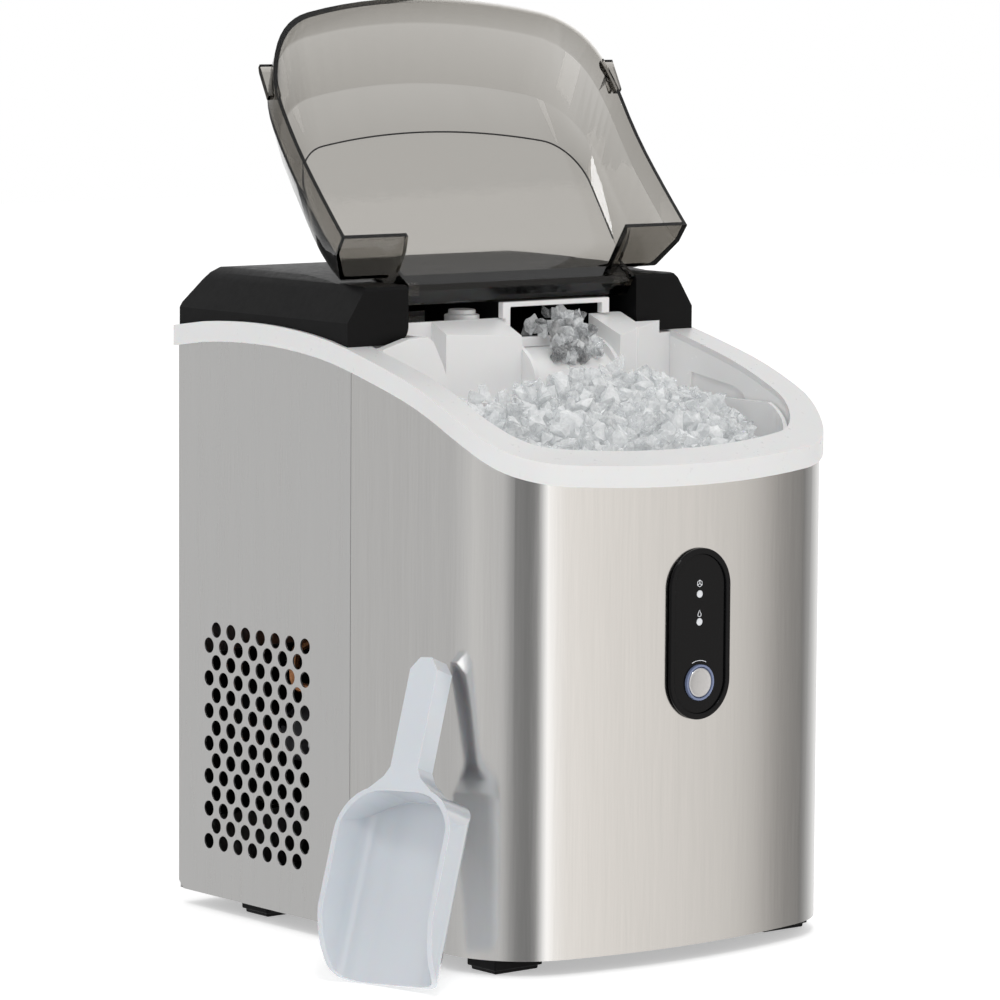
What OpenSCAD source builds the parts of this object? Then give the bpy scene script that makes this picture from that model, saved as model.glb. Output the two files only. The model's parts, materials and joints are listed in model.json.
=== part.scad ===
// Countertop nugget ice maker with its scoop, as separate parts in one frame.
// Units are millimetres. The origin is on the ground under the middle of the cabinet.
// +X is to the right when facing the control panel, -Y is the front, +Z is up.

/* [Cabinet] */
// Width over the steel side panels
body_w = 227; // [222:1:232]
// Depth over the steel, from the back panel to the middle of the bowed front
body_d = 279; // [275:1:284]
// Radius of the two vertical front corners
corner_r = 48; // [44:1:52]
// Radius of the gentle bow across the front
bow_r = 340; // [300:10:400]
// Thickness of the sheet steel
sheet_t = 1; // [0.8:0.1:1.2]
// Height of the feet
foot_h = 8; // [7:1:9]
// How far the white rim stands proud of the steel
rim_proud = 2; // [1.5:0.25:2.5]
// Height of the white rim band
rim_band = 10.6; // [9:0.2:12]
// Width of the flat land on top of the rim
rim_land = 15; // [14:0.5:16]

/* [Side vents] */
// Diameter of each vent hole
vent_d = 8; // [6:0.5:8.5]
// Distance between holes along a row
vent_pitch = 12.63; // [12.2:0.1:13]
// Distance between rows
vent_row = 8.515; // [8.2:0.05:8.6]
// Number of rows
vent_rows = 14; // [10:1:14]
// Holes in each row
vent_cols = 7; // [5:1:7]

/* [Lid] */
// How far the lid is turned back from closed, in degrees
lid_open = 146.6; // [140:0.2:146.6]
// Thickness of the lid's plastic
lid_t = 2.2; // [1.8:0.1:2.6]
// Radius of the hinge pins
pin_r = 2.5; // [2:0.1:3]
// Running clearance round a shaft or pin
running = 0.06; // [0.03:0.01:0.1]

/* [Ice bin] */
// Thickness of the basket's walls
basket_t = 2.2; // [1.8:0.1:2.6]
// Height of the tub's floor
tub_floor_z = 168; // [164:1:172]

/* [Control panel] */
// Width of the black bezel
panel_w = 39; // [36:1:42]
// Height of the black bezel
panel_h = 85; // [80:1:90]
// Height of the middle of the bezel
panel_z = 163; // [158:1:168]
// Height of the round button
button_z = 138.9; // [136:0.5:142]
// Diameter of the button
button_d = 15; // [14:0.2:15.6]

/* [Scoop] */
// Width of the scoop's bowl
scoop_w = 72; // [68:1:76]
// Length of the bowl
scoop_len = 92; // [88:1:96]
// Depth of the bowl
scoop_deep = 26; // [24:1:28]
// Length of the handle
handle_len = 65; // [60:1:68]
// Thickness of the scoop's plastic
scoop_t = 2; // [1.6:0.1:2.4]
// Lean of the scoop against the side panel, in degrees from upright
scoop_lean = 22; // [20:0.5:22]
// Turn of the scoop in its own plane, in degrees
scoop_turn = -4; // [-6:0.5:0]
// Turn of the scoop about the vertical, in degrees
scoop_yaw = 11; // [6:1:14]

/* [Hidden] */

steel = [0.72, 0.72, 0.71];
white = [0.93, 0.94, 0.94];
black = [0.11, 0.11, 0.12];
copper = [0.72, 0.42, 0.28];

half_w = body_w / 2;
rear_y = 140;
front_y = rear_y - body_d;
seam_y = -6;
arc_n = 12;
side_n = 9;

// ---- plan outlines -------------------------------------------------------------------------

// Points along an arc, angles in degrees.
function arc(cx, cy, r, a0, a1, n = arc_n) =
    [for (i = [0:n]) let (a = a0 + (a1 - a0) * i / n) [cx + r * cos(a), cy + r * sin(a)]];

// Outline open at the rear: left side, left corner, bowed front, right corner, right side.
function plan(hw, rear, front, cr, br) =
    let (by = front + br,
         cx = hw - cr,
         cy = by - sqrt(pow(br - cr, 2) - cx * cx),
         at = 180 + acos(cx / (br - cr)))
    concat(
        [for (i = [0:side_n - 1]) [-hw, rear + (cy - rear) * i / side_n]],
        arc(-cx, cy, cr, 180, at),
        [for (i = [1:arc_n - 1]) let (a = at + (540 - 2 * at) * i / arc_n)
            [br * cos(a), by + br * sin(a)]],
        arc(cx, cy, cr, 540 - at, 360),
        [for (i = [side_n - 1:-1:0]) [hw, rear + (cy - rear) * i / side_n]]);

// The cabinet's outline, moved inwards by inset.
function cabinet(inset, rear = rear_y) =
    plan(half_w - inset, rear, front_y + inset, corner_r - inset, bow_r - inset);

// ---- side profile of the rim ---------------------------------------------------------------

rim_knots = [
    [-160, 240.5], [-142, 247], [-127, 252], [-112, 258.6], [-90, 271.8], [-60, 284.6],
    [-27, 294.2], [10, 302.8], [45, 306.9], [80, 307.8], [116, 306], [146, 302]
];
knot_steps = 3;

function smooth_at(p0, p1, p2, p3, t) =
    0.5 * (2 * p1 + (p2 - p0) * t + (2 * p0 - 5 * p1 + 4 * p2 - p3) * t * t
        + (3 * p1 - p0 - 3 * p2 + p3) * t * t * t);

rim_line = [
    for (i = [1:len(rim_knots) - 3], s = [0:knot_steps - 1])
        smooth_at(rim_knots[i - 1], rim_knots[i], rim_knots[i + 1], rim_knots[i + 2], s / knot_steps),
    rim_knots[len(rim_knots) - 2],
    rim_knots[len(rim_knots) - 1]
];
function rim_z(y) = lookup(y, rim_line);

// Extrudes a polygon given as [y, z] points along X, from x0 to x1.
module side_prism(points, x0, x1) {
    translate([x0, 0, 0]) rotate([90, 0, 90]) linear_extrude(x1 - x0) polygon(points);
}

// Extrudes a polygon given as [x, z] points along Y, from y0 to y1.
module front_prism(points, y0, y1) {
    translate([0, y1, 0]) rotate([90, 0, 0]) linear_extrude(y1 - y0) polygon(points);
}

// Everything under the rim line moved down by drop, above z0.
module under_rim(drop, z0 = 0) {
    points = concat(
        [[rim_line[0][0], z0]],
        [for (p = rim_line) [p[0], p[1] - drop]],
        [[rim_line[len(rim_line) - 1][0], z0]]);
    side_prism(points, -140, 140);
}

module plan_block(inset, z0, z1, rear = rear_y) {
    translate([0, 0, z0]) linear_extrude(z1 - z0) polygon(cabinet(inset, rear));
}

module slab(x0, x1, y0, y1, z0, z1) {
    translate([x0, y0, z0]) cube([x1 - x0, y1 - y0, z1 - z0]);
}

// A cylinder from a to b, both on one axis-parallel or slanted line.
module rod(a, b, r) {
    d = b - a;
    length = norm(d);
    translate(a) rotate([0, acos(d[2] / length), atan2(d[1], d[0])]) cylinder(h = length, r = r, $fn = 24);
}

function unit(v) = v / norm(v);

// Rounds each corner of a path with a short curve that starts and ends reach from the corner.
function rounded(path, reach) = concat(
    [path[0]],
    [for (i = [1:len(path) - 2])
        let (p = path[i],
             a = p + unit(path[i - 1] - p) * min(reach, norm(path[i - 1] - p) * 0.45),
             b = p + unit(path[i + 1] - p) * min(reach, norm(path[i + 1] - p) * 0.45))
        each [for (t = [0, 0.25, 0.5, 0.75, 1]) a * (1 - t) * (1 - t) + p * 2 * t * (1 - t) + b * t * t]],
    [path[len(path) - 1]]);

// Carries the sideways vector u along a list of directions without twisting it.
function carried(along, u, i = 0) = i == len(along) ? [] :
    let (v = unit(u - (u * along[i]) * along[i])) concat([v], carried(along, v, i + 1));

// A bent pipe of radius r through the given corners, swept as rings of pipe_sides points.
pipe_sides = 10;

module pipe(corners, r, reach = 8) {
    path = rounded(corners, reach);
    n = len(path);
    along = [for (i = [0:n - 1]) unit(path[min(i + 1, n - 1)] - path[max(i - 1, 0)])];
    across = carried(along, cross(along[0], [0.3, 0.5, 0.81]));
    rings = [for (i = [0:n - 1], k = [0:pipe_sides - 1]) let (a = k * 360 / pipe_sides)
        path[i] + r * (across[i] * cos(a) + cross(along[i], across[i]) * sin(a))];
    sides = [for (i = [0:n - 2], k = [0:pipe_sides - 1])
        let (a = i * pipe_sides + k, b = i * pipe_sides + (k + 1) % pipe_sides)
        each [[a, a + pipe_sides, b], [b, a + pipe_sides, b + pipe_sides]]];
    caps = [[for (k = [0:pipe_sides - 1]) k], [for (k = [pipe_sides - 1:-1:0]) (n - 1) * pipe_sides + k]];
    polyhedron(points = rings, faces = concat(sides, caps), convexity = 10);
}

module mirrored() {
    children();
    mirror([1, 0, 0]) children();
}

// ---- base and casing -----------------------------------------------------------------------

pan_z = foot_h;
pan_t = 5;
foot_places = [[-88, 88], [88, 88], [-88, -98], [88, -98]];
post_x = 103;

module foot() {
    // A block with a narrower pad where it meets the ground.
    linear_extrude(2) square([27, 19], center = true);
    translate([0, 0, 2]) linear_extrude(foot_h - 2) square([30, 22], center = true);
}

module base_pan() {
    color(black) difference() {
        union() {
            plan_block(sheet_t + 0.2, pan_z, pan_z + pan_t, rear_y - sheet_t - 0.2);
            // Posts that take the back panel's lower screws.
            mirrored() slab(post_x - 6, post_x + 6, 128, rear_y - sheet_t - 0.2, pan_z, 36);
        }
        mirrored() translate([post_x, rear_y - 8, 26]) rotate([-90, 0, 0]) cylinder(h = 20, r = 1.6, $fn = 24);
        // Drain slots under the fan.
        for (i = [0:3]) slab(-85 + i * 16, -79 + i * 16, 70, 110, pan_z - 1, pan_z + pan_t + 1);
    }
}

module feet() {
    color(black) for (p = foot_places) translate([p[0], p[1], 0]) foot();
}

module stadium(w, h) {
    // Two round ends joined by a straight middle.
    translate([0, (h - w) / 2]) circle(r = w / 2, $fn = 48);
    translate([0, -(h - w) / 2]) circle(r = w / 2, $fn = 48);
    square([w, h - w], center = true);
}

// A stadium lying on the front, y0 being its front face.
module stadium_block(w, h, y0, y1) {
    translate([0, y1, panel_z]) rotate([90, 0, 0]) linear_extrude(y1 - y0) stadium(w, h);
}

module front_shell() {
    color(steel) difference() {
        intersection() {
            difference() {
                plan_block(0, pan_z, 320, seam_y - 0.3);
                plan_block(sheet_t, pan_z - 1, 321, seam_y + 10);
            }
            under_rim(3.1);
        }
        stadium_block(panel_w - 3, panel_h - 3, -150, -120);
    }
}

vent_rear_y = 107;
vent_top_z = 147.05;

module vent_holes(x0, x1) {
    for (row = [0:vent_rows - 1], col = [0:vent_cols - 1])
        translate([x0, vent_rear_y + (row % 2) * vent_pitch / 2 - col * vent_pitch, vent_top_z - row * vent_row])
            rotate([0, 90, 0]) cylinder(h = x1 - x0, r = vent_d / 2, $fn = 24);
}

module side_panel() {
    // Left-hand panel: flat sheet with a clipped lower rear corner and the vent grid.
    difference() {
        intersection() {
            slab(-half_w, -half_w + sheet_t, seam_y, rear_y, pan_z, 320);
            under_rim(3.1);
        }
        side_prism([[rear_y - 5, pan_z - 1], [rear_y + 1, pan_z - 1], [rear_y + 1, pan_z + 5]], -half_w - 1, -half_w + 2);
        vent_holes(-half_w - 1, -half_w + 3);
    }
}

module left_side_panel() {
    color(steel) side_panel();
}

module right_side_panel() {
    color(steel) mirror([1, 0, 0]) side_panel();
}

fan_x = -55;
fan_z = 88;
louvre_n = 9;
louvre_pitch = 9;
drain_x = 5;
drain_z = 30;
inlet_x = 92;
inlet_z = 40;
top_screw_z = 278;

module back_panel() {
    color(steel) difference() {
        intersection() {
            slab(-half_w + sheet_t + 0.05, half_w - sheet_t - 0.05, rear_y - sheet_t, rear_y, pan_z, 320);
            under_rim(3.1);
        }
        for (i = [0:louvre_n - 1])
            slab(fan_x - 38, fan_x + 38, rear_y - 3, rear_y + 1,
                fan_z - 39 + i * louvre_pitch, fan_z - 33 + i * louvre_pitch);
        mirrored() for (z = [26, top_screw_z])
            translate([post_x, rear_y - 3, z]) rotate([-90, 0, 0]) cylinder(h = 6, r = 1.6, $fn = 24);
        translate([drain_x, rear_y - 3, drain_z]) rotate([-90, 0, 0]) cylinder(h = 6, r = 8, $fn = 40);
        translate([inlet_x, rear_y - 3, inlet_z]) rotate([-90, 0, 0]) cylinder(h = 6, r = 6, $fn = 40);
    }
}

module rim_trim() {
    color(white) difference() {
        union() {
            // Land on top, from the proud outer face to the mouth of the bin.
            intersection() {
                difference() {
                    plan_block(-rim_proud, 200, 320, rear_y + rim_proud);
                    plan_block(rim_land, 199, 321, rear_y - rim_land);
                }
                difference() {
                    under_rim(0);
                    under_rim(3, -1);
                }
            }
            // Skirt that hides the top edge of the steel.
            intersection() {
                difference() {
                    plan_block(-rim_proud, 200, 320, rear_y + rim_proud);
                    plan_block(0, 199, 321, rear_y);
                }
                difference() {
                    under_rim(2.9);
                    under_rim(rim_band, -1);
                }
            }
            // Lugs that take the back panel's upper screws.
            mirrored() intersection() {
                slab(post_x - 6, post_x + 6, 128, rear_y - sheet_t - 0.2, top_screw_z - 6, 310);
                under_rim(2.9);
            }
        }
        mirrored() translate([post_x, rear_y - 8, top_screw_z]) rotate([-90, 0, 0]) cylinder(h = 20, r = 1.6, $fn = 24);
    }
}

module case_screws() {
    color("silver") mirrored() for (z = [26, top_screw_z]) translate([post_x, 0, z]) {
        translate([0, rear_y - 8, 0]) rotate([-90, 0, 0]) cylinder(h = 8.1, r = 1.6, $fn = 24);
        difference() {
            translate([0, rear_y, 0]) rotate([-90, 0, 0]) cylinder(h = 1.8, r = 3.4, $fn = 32);
            for (a = [0, 90]) translate([0, rear_y + 1.5, 0]) rotate([0, a, 0]) cube([3.6, 1.2, 0.9], center = true);
        }
    }
}

// ---- top cover and hinge -------------------------------------------------------------------

hinge_y = 6.6;
hinge_z = 326.4;
arm_x = 75;
arm_front_y = -3;
cover_rear_y = rear_y - 0.7;

// Cross-section of the cover seen from the front, made smaller by inset.
function cover_section(inset) = [
    [-half_w + inset, 280], [-half_w + inset, 312 - inset / 2], [-104 + inset * 0.8, 326.5 - inset * 0.6],
    [-101 + inset * 0.6, 330 - inset * 0.8], [-96, 332.6 - inset], [-88, 334.2 - inset],
    [88, 334.2 - inset], [96, 332.6 - inset], [101 - inset * 0.6, 330 - inset * 0.8],
    [104 - inset * 0.8, 326.5 - inset * 0.6], [half_w - inset, 312 - inset / 2], [half_w - inset, 280]
];

// Cross-section of the cover seen from the side: crowned top and sloping rear face.
function cover_profile(inset) = concat(
    [[arm_front_y + inset, 280], [arm_front_y + inset, 327.5], [arm_front_y + inset + 1, 329.3 - inset * 0.6],
     [arm_front_y + inset + 3.5, 329.8 - inset]],
    [for (i = [0:8]) let (y = 20 + 108 * i / 8) [y, 333.7 - pow((y - 92) / 72, 2) * 3.9 - inset]],
    [[cover_rear_y - inset, 314.5 - inset / 2], [cover_rear_y - inset, 280]]);

module cover_solid(inset) {
    intersection() {
        front_prism(cover_section(inset), arm_front_y - 5, rear_y + 5);
        side_prism(cover_profile(inset), -half_w, half_w);
    }
}

bar_half = 6.2;

module top_cover() {
    wall = 2.5;
    color(black) difference() {
        union() {
            difference() {
                cover_solid(0);
                difference() {
                    cover_solid(wall);
                    // Inner walls of the two hinge arms and their pin bosses stay.
                    mirrored() slab(arm_x, arm_x + wall, arm_front_y, 44, 280, 340);
                    mirrored() rod([arm_x + 1, hinge_y, hinge_z - 2.5], [arm_x + 14, hinge_y, hinge_z - 2.5], 6);
                }
            }
        }
        // Open space between the arms, with a sloping lip that clears the lid's turned-back top.
        side_prism([[-20, 270], [44, 270], [44, 322], [16, 322], [30, 331.6], [30, 345], [-20, 345]], -arm_x, arm_x);
        // Keeps clear of the rim.
        difference() {
            slab(-130, 130, -30, 160, 250, 312);
            slab(-130, 130, -31, 161, 312, 320);
            cover_keep();
        }
        // Round lower inner corner of each arm.
        mirrored() difference() {
            slab(arm_x - 1, arm_x + 8, -20, 60, 290, 309);
            translate([arm_x + 8, 70, 309]) rotate([90, 0, 0]) cylinder(h = 140, r = 8, $fn = 40);
            slab(arm_x + 8, arm_x + 20, -20, 60, 290, 330);
        }
        mirrored() rod([arm_x - 2, hinge_y, hinge_z], [arm_x + 14.1, hinge_y, hinge_z], pin_r);
    }
}

// The space above the rim land that the cover may fill.
module cover_keep() {
    side_prism(concat(
        [[-30, 340], [-30, rim_z(-30) + 0.02]],
        [for (p = rim_line) if (p[0] > -29) [p[0], p[1] + 0.02]],
        [[rim_line[len(rim_line) - 1][0], 340]]), -135, 135);
}

module hinge_pins() {
    color("silver") mirrored() rod([64, hinge_y, hinge_z], [arm_x + 14, hinge_y, hinge_z], pin_r);
}

// ---- lid -----------------------------------------------------------------------------------

lid_gap = 0.7;
lid_rear = hinge_y + bar_half;
lid_flat_y = -23;
lid_slope = 0.42;

function lid_top_z(y) = y > lid_flat_y ? 333 : 333 + lid_slope * (y - lid_flat_y);

// Four rings of points, from the free edge up to the crease of the top.
function lid_ring(k, t) =
    k == 0 ? [for (p = plan(half_w - t, lid_rear, front_y + t, corner_r - t, bow_r - t))
        [p[0], p[1], rim_z(p[1]) + lid_gap - (t > 0 ? 6 : 0)]]
    : k == 1 ? [for (p = plan(half_w - 0.6 - t, lid_rear, front_y + 2.5 + t, corner_r - 1 - t, bow_r))
        [p[0], p[1], min(rim_z(p[1]) + 13, 311) - t * 0.3]]
    : k == 2 ? let (low = lid_ring(1, t), high = lid_ring(3, t),
                    mid = plan(104.5 - t, lid_rear, front_y + 19 + t, 44 - t, 350 - t))
        [for (i = [0:len(mid) - 1]) [mid[i][0], mid[i][1], low[i][2] * 0.34 + high[i][2] * 0.66]]
    : [for (p = plan(96 - t, lid_rear, -95 + t, 26, 411))
        [p[0], p[1], lid_top_z(p[1]) - t]];

// Solid bounded by the four rings and flat closing faces, t inside the outer skin.
module lid_solid(t) {
    rings = [for (k = [0:3]) lid_ring(k, t)];
    n = len(rings[0]);
    points = concat(rings[0], rings[1], rings[2], rings[3]);
    walls = [for (k = [0:2], i = [0:n - 1]) let (j = (i + 1) % n)
        [k * n + i, (k + 1) * n + i, (k + 1) * n + j, k * n + j]];
    half = floor(n / 2);
    // Rungs across the mirror-image point pairs close the top and the bottom.
    top = [for (i = [0:half - 1]) [3 * n + i, 3 * n + n - 1 - i, 3 * n + n - 2 - i, 3 * n + i + 1]];
    bottom = [for (i = [0:half - 1]) [i + 1, n - 2 - i, n - 1 - i, i]];
    tri = [for (f = concat(walls, top, bottom)) each
        (f[1] == f[3] || f[2] == f[3] ? [[f[0], f[1], f[2]]] :
         f[1] == f[2] ? [[f[0], f[2], f[3]]] : [[f[0], f[1], f[2]], [f[0], f[2], f[3]]])];
    polyhedron(points = points, faces = tri, convexity = 6);
}

// What is cut away behind the lid so that it passes round the hinge arms.
module lid_notch(t) {
    mirrored() side_prism([
        [arm_front_y - 1 - t, 280], [arm_front_y - 1 - t, 326.3 - t * 0.5], [-12 - t * 0.8, 333.4 - t * 0.4],
        [-12 - t * 0.8, 345], [40, 345], [40, 280]], arm_x - 0.7 - t, 130);
}

module lid_closed() {
    difference() {
        union() {
            difference() {
                lid_solid(0);
                lid_notch(0);
                difference() {
                    lid_solid(lid_t);
                    lid_notch(lid_t);
                }
                // Rear edge of the top, rounded off about the hinge.
                side_prism([[hinge_y + 4, hinge_z + bar_half], [lid_rear, hinge_z + 4], [lid_rear + 9, hinge_z + 4],
                    [lid_rear + 9, 345], [hinge_y + 4, 345]], -120, 120);
                // Space under the hinge bar.
                side_prism([[-8, 290], [-1, 308], [-0.2, 319], [lid_rear + 1, 319], [lid_rear + 1, 290]], -90, 90);
            }
            // Hinge bar.
            side_prism([
                [hinge_y - bar_half, hinge_z - 4], [hinge_y - 4, hinge_z - bar_half],
                [hinge_y + 4, hinge_z - bar_half], [hinge_y + bar_half, hinge_z - 4],
                [hinge_y + bar_half, hinge_z + 4], [hinge_y + 4, hinge_z + bar_half],
                [hinge_y - 4, hinge_z + 6.6], [hinge_y - bar_half, hinge_z + 6.6]], -arm_x + 0.7, arm_x - 0.7);
            // Finger tabs at the sides.
            mirrored() side_prism([[-105, 265.6], [-90, 274.2], [-90, 277], [-103, 269.6], [-105, 267.6]],
                half_w - 5, half_w + 3);
        }
        mirrored() rod([63, hinge_y, hinge_z], [arm_x + 2, hinge_y, hinge_z], pin_r + running);
    }
}

module lid() {
    color([0.45, 0.44, 0.42, 0.5])
        translate([0, hinge_y, hinge_z]) rotate([-lid_open, 0, 0]) translate([0, -hinge_y, -hinge_z]) lid_closed();
}

// ---- ice bin -------------------------------------------------------------------------------

liner_t = 3;
tub_rear = -26;
ledge_z = 268;
upper_rear = 5;
deck_z = 310;
duct_x0 = -6;
duct_x1 = 55;
duct_z0 = 300;
duct_z1 = 315.7;
shelf_z = 304;

// Side profile of the grip recess moulded into each wall of the tub.
grip = [[-20, 279], [-53, 274], [-60, 270.5], [-63.6, 265], [-64.4, 250], [-20, 250]];

module bin_liner() {
    inner = rim_land;
    outer = rim_land - liner_t;
    color(white) difference() {
        union() {
            intersection() {
                union() {
                    plan_block(outer, tub_floor_z, ledge_z + liner_t, tub_rear + liner_t);
                    plan_block(outer, ledge_z, deck_z, upper_rear + liner_t);
                }
                union() {
                    under_rim(3);
                    slab(-lid_wall_x, lid_wall_x, upper_rear, upper_rear + liner_t, 290, deck_z);
                }
            }
            // Shelf behind the wall that carries the sensor's cap.
            slab(-lid_wall_x, duct_x0 - 3, upper_rear + 1, 42, shelf_z - 3, shelf_z);
        }
        plan_block(inner, tub_floor_z + liner_t, 400, tub_rear);
        plan_block(inner, ledge_z + liner_t, 400, upper_rear);
        mirrored() side_prism(grip, half_w - inner - 1, half_w - inner + 1.4);
        // Opening for the ice outlet.
        slab(duct_x0 - 3, duct_x1 + 3, 0, 20, duct_z0 - 3, 330);
        // Melt water drains to the tank.
        for (x = [-40, 0, 40]) translate([x, -70, tub_floor_z - 1]) cylinder(h = 8, r = 4, $fn = 24);
    }
}

module bin_insulation() {
    color([0.85, 0.84, 0.78]) difference() {
        intersection() {
            plan_block(3.5, tub_floor_z + 6, 320, tub_rear + liner_t);
            under_rim(rim_band + 2);
        }
        plan_block(rim_land - liner_t, 100, 330, 60);
        // Pocket behind the control panel.
        slab(-30, 30, -150, -100, 100, 214);
    }
}

basket_gap = 1.2;
basket_rear = tub_rear - 1.5;
basket_z0 = tub_floor_z + liner_t + 0.4;

module ice_basket() {
    out = rim_land + basket_gap;
    color(white) difference() {
        intersection() {
            plan_block(out, basket_z0, ledge_z, basket_rear);
            under_rim(7);
        }
        plan_block(out + basket_t, basket_z0 + basket_t, 400, basket_rear - basket_t);
        // Slots in the floor let melt water through.
        for (ix = [-3:3], iy = [0:2]) slab(ix * 22 - 6, ix * 22 + 6, -100 + iy * 24, -97 + iy * 24, basket_z0 - 1, basket_z0 + 5);
        // Finger slot near the top of the rear wall.
        for (s = [-1, 1]) slab(s * 56 - 16, s * 56 + 16, basket_rear - 5, basket_rear + 1, ledge_z - 22, ledge_z - 10);
    }
}

// Where the closed lid's rear walls come down, with some room.
lid_wall_x = 71.4;
lid_wall_y = -6.8;

// Blocks on the ledge behind the basket. Each top rises towards the hinge.
module sloped_block(x0, x1, f0, f1, z_front, z_rear) {
    intersection() {
        slab(x0, x1, -30, upper_rear, ledge_z + liner_t, 330);
        translate([0, 0, 260]) linear_extrude(80) polygon([[x0, f0], [x1, f1], [x1, upper_rear], [x0, upper_rear]]);
        side_prism([[-40, 260], [min(f0, f1), z_front], [upper_rear, z_rear], [upper_rear, 260]], x0, x1);
    }
}

module left_housing() {
    color(white) union() {
        difference() {
            sloped_block(-54, -9, -7, -12, 302, 309.8);
            // Hollow underneath for the ice sensor.
            slab(-50, -13, -4, upper_rear - 2, 260, 296);
        }
        // Block at the tub's side, with a slanted flank. Its rear part passes under the hinge arm.
        front_prism([[-98.4, ledge_z + liner_t], [-98.4, 299], [-82, 303.6], [-70, 304], [-66.5, 301.5],
            [-60.5, 290], [-54.5, 275], [-53.5, ledge_z + liner_t]], -12.5, lid_wall_y);
        front_prism([[-98.4, ledge_z + liner_t], [-98.4, 299], [-lid_wall_x, 299], [-lid_wall_x, 304], [-69, 304],
            [-60.5, 290], [-53.5, ledge_z + liner_t]], lid_wall_y - 0.1, upper_rear);
    }
}

module right_housing() {
    color(white) difference() {
        sloped_block(49.5, 98.4, -20.5, -3, 300.5, 310);
        translate([66, -14.8, 260]) cylinder(h = 80, r = 1.4, $fn = 24);
        slab(54, 94, 0, upper_rear - 2, 260, 296);
        // Leaves room for the hinge arm and the closed lid's wall.
        slab(lid_wall_x, 100, lid_wall_y, 10, 299, 330);
    }
}

module outlet_frame() {
    color(white) difference() {
        slab(duct_x0 - 5, duct_x1 + 5, 0.6, upper_rear - 0.2, duct_z0 - 5, duct_z1 + 2.6);
        slab(duct_x0, duct_x1, -1, upper_rear + 1, duct_z0, duct_z1);
        // Set into the top of the blocks on both sides.
        slab(duct_x0 - 6, -9 + 0.01, -1, 10, 270, 310);
        slab(49.4, duct_x1 + 6, -1, 10, 270, 310.2);
    }
}

// Curved slide from the outlet down to the basket, with a cheek on each side.
chute_x0 = -8.9;
chute_x1 = 49.3;

chute_floor_z = ledge_z + liner_t;

function chute_curve(lift) = [for (i = [0:8]) let (a = 90 * i / 8)
    [upper_rear - 0.3 - 28 * sin(a), duct_z0 - 5.2 - 22 * (1 - cos(a)) + lift]];

module ice_chute() {
    color(white) difference() {
        side_prism(concat(chute_curve(5), [[chute_curve(0)[8][0], chute_floor_z], [upper_rear - 0.3, chute_floor_z]]),
            chute_x0, chute_x1);
        side_prism(concat(chute_curve(0), [[-40, chute_curve(0)[8][1]], [-40, 330], [upper_rear + 3, 330],
            [upper_rear + 3, duct_z0 - 5.2]]), chute_x0 + 2.5, chute_x1 - 2.5);
        // The cheeks stop at the outlet's frame.
        slab(chute_x0 - 1, chute_x1 + 1, 0.5, upper_rear + 1, duct_z0 - 5.1, 330);
    }
}

auger_x = 25;
auger_y = 38;
head_top = 296;

module ice_outlet_duct() {
    color(white) difference() {
        union() {
            slab(duct_x0 - 2.5, duct_x1 + 2.5, upper_rear, 68, duct_z0 - 2.5, duct_z1 + 2.5);
            translate([auger_x, auger_y, head_top - 8]) cylinder(h = 12, r = 30, $fn = 60);
        }
        slab(duct_x0, duct_x1, upper_rear - 1, 65.5, duct_z0, duct_z1);
        translate([auger_x, auger_y, head_top - 9]) cylinder(h = 20, r = 27.2, $fn = 60);
    }
}

module sensor_cap() {
    color(white) translate([-24, 18, shelf_z]) {
        cylinder(h = 8, r = 9, $fn = 48);
        cylinder(h = 10.5, r = 7, $fn = 48);
    }
}

// ---- control panel -------------------------------------------------------------------------

bezel_y = front_y - 2;

module control_bezel() {
    color(black) difference() {
        union() {
            stadium_block(panel_w, panel_h, bezel_y, front_y + 0.6);
            stadium_block(panel_w - 3.4, panel_h - 3.4, bezel_y, front_y + 6);
        }
        stadium_block(panel_w - 6, panel_h - 6, bezel_y - 1, front_y + 4);
        stadium_block(panel_w - 9, panel_h - 9, bezel_y - 1, front_y + 7);
        // The back of the flange follows the bowed steel.
        difference() {
            stadium_block(panel_w + 2, panel_h + 2, front_y - 0.5, front_y + 0.7);
            stadium_block(panel_w - 3.4, panel_h - 3.4, front_y - 2, front_y + 2);
            translate([0, 0, 100]) linear_extrude(130) polygon(cabinet(-5));
        }
        difference() {
            stadium_block(panel_w + 2, panel_h + 2, front_y - 1, front_y + 2);
            stadium_block(panel_w - 3.4, panel_h - 3.4, front_y - 2, front_y + 3);
            translate([-40, front_y - 3, 100]) cube([80, 3, 130]);
        }
    }
}

lamp_z = [182.7, 168.9];
ring_r = 8.9;

module control_fascia() {
    color([0.05, 0.05, 0.06]) difference() {
        stadium_block(panel_w - 6.1, panel_h - 6.1, bezel_y + 1.2, front_y + 3.9);
        for (z = lamp_z) translate([0, front_y + 5, z]) rotate([90, 0, 0]) cylinder(h = 10, r = 1.8, $fn = 24);
        translate([0, front_y + 5, button_z]) rotate([90, 0, 0]) cylinder(h = 10, r = ring_r, $fn = 48);
    }
}

module status_lamps() {
    color("white") for (z = lamp_z) {
        translate([0, front_y + 6.4, z]) rotate([90, 0, 0]) cylinder(h = 7.4, r = 1.8, $fn = 24);
        translate([0, front_y - 1, z]) intersection() {
            rotate([90, 0, 0]) cylinder(h = 0.6, r = 1.8, $fn = 24);
            translate([0, 2.4, 0]) sphere(r = 3, $fn = 40);
        }
    }
}

module button_ring() {
    color([0.75, 0.82, 0.95]) difference() {
        translate([0, front_y + 3.9, button_z]) rotate([90, 0, 0]) cylinder(h = 6.2, r = ring_r, $fn = 48);
        translate([0, front_y + 5, button_z]) rotate([90, 0, 0]) cylinder(h = 12, r = button_d / 2 + 0.3, $fn = 48);
    }
}

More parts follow.
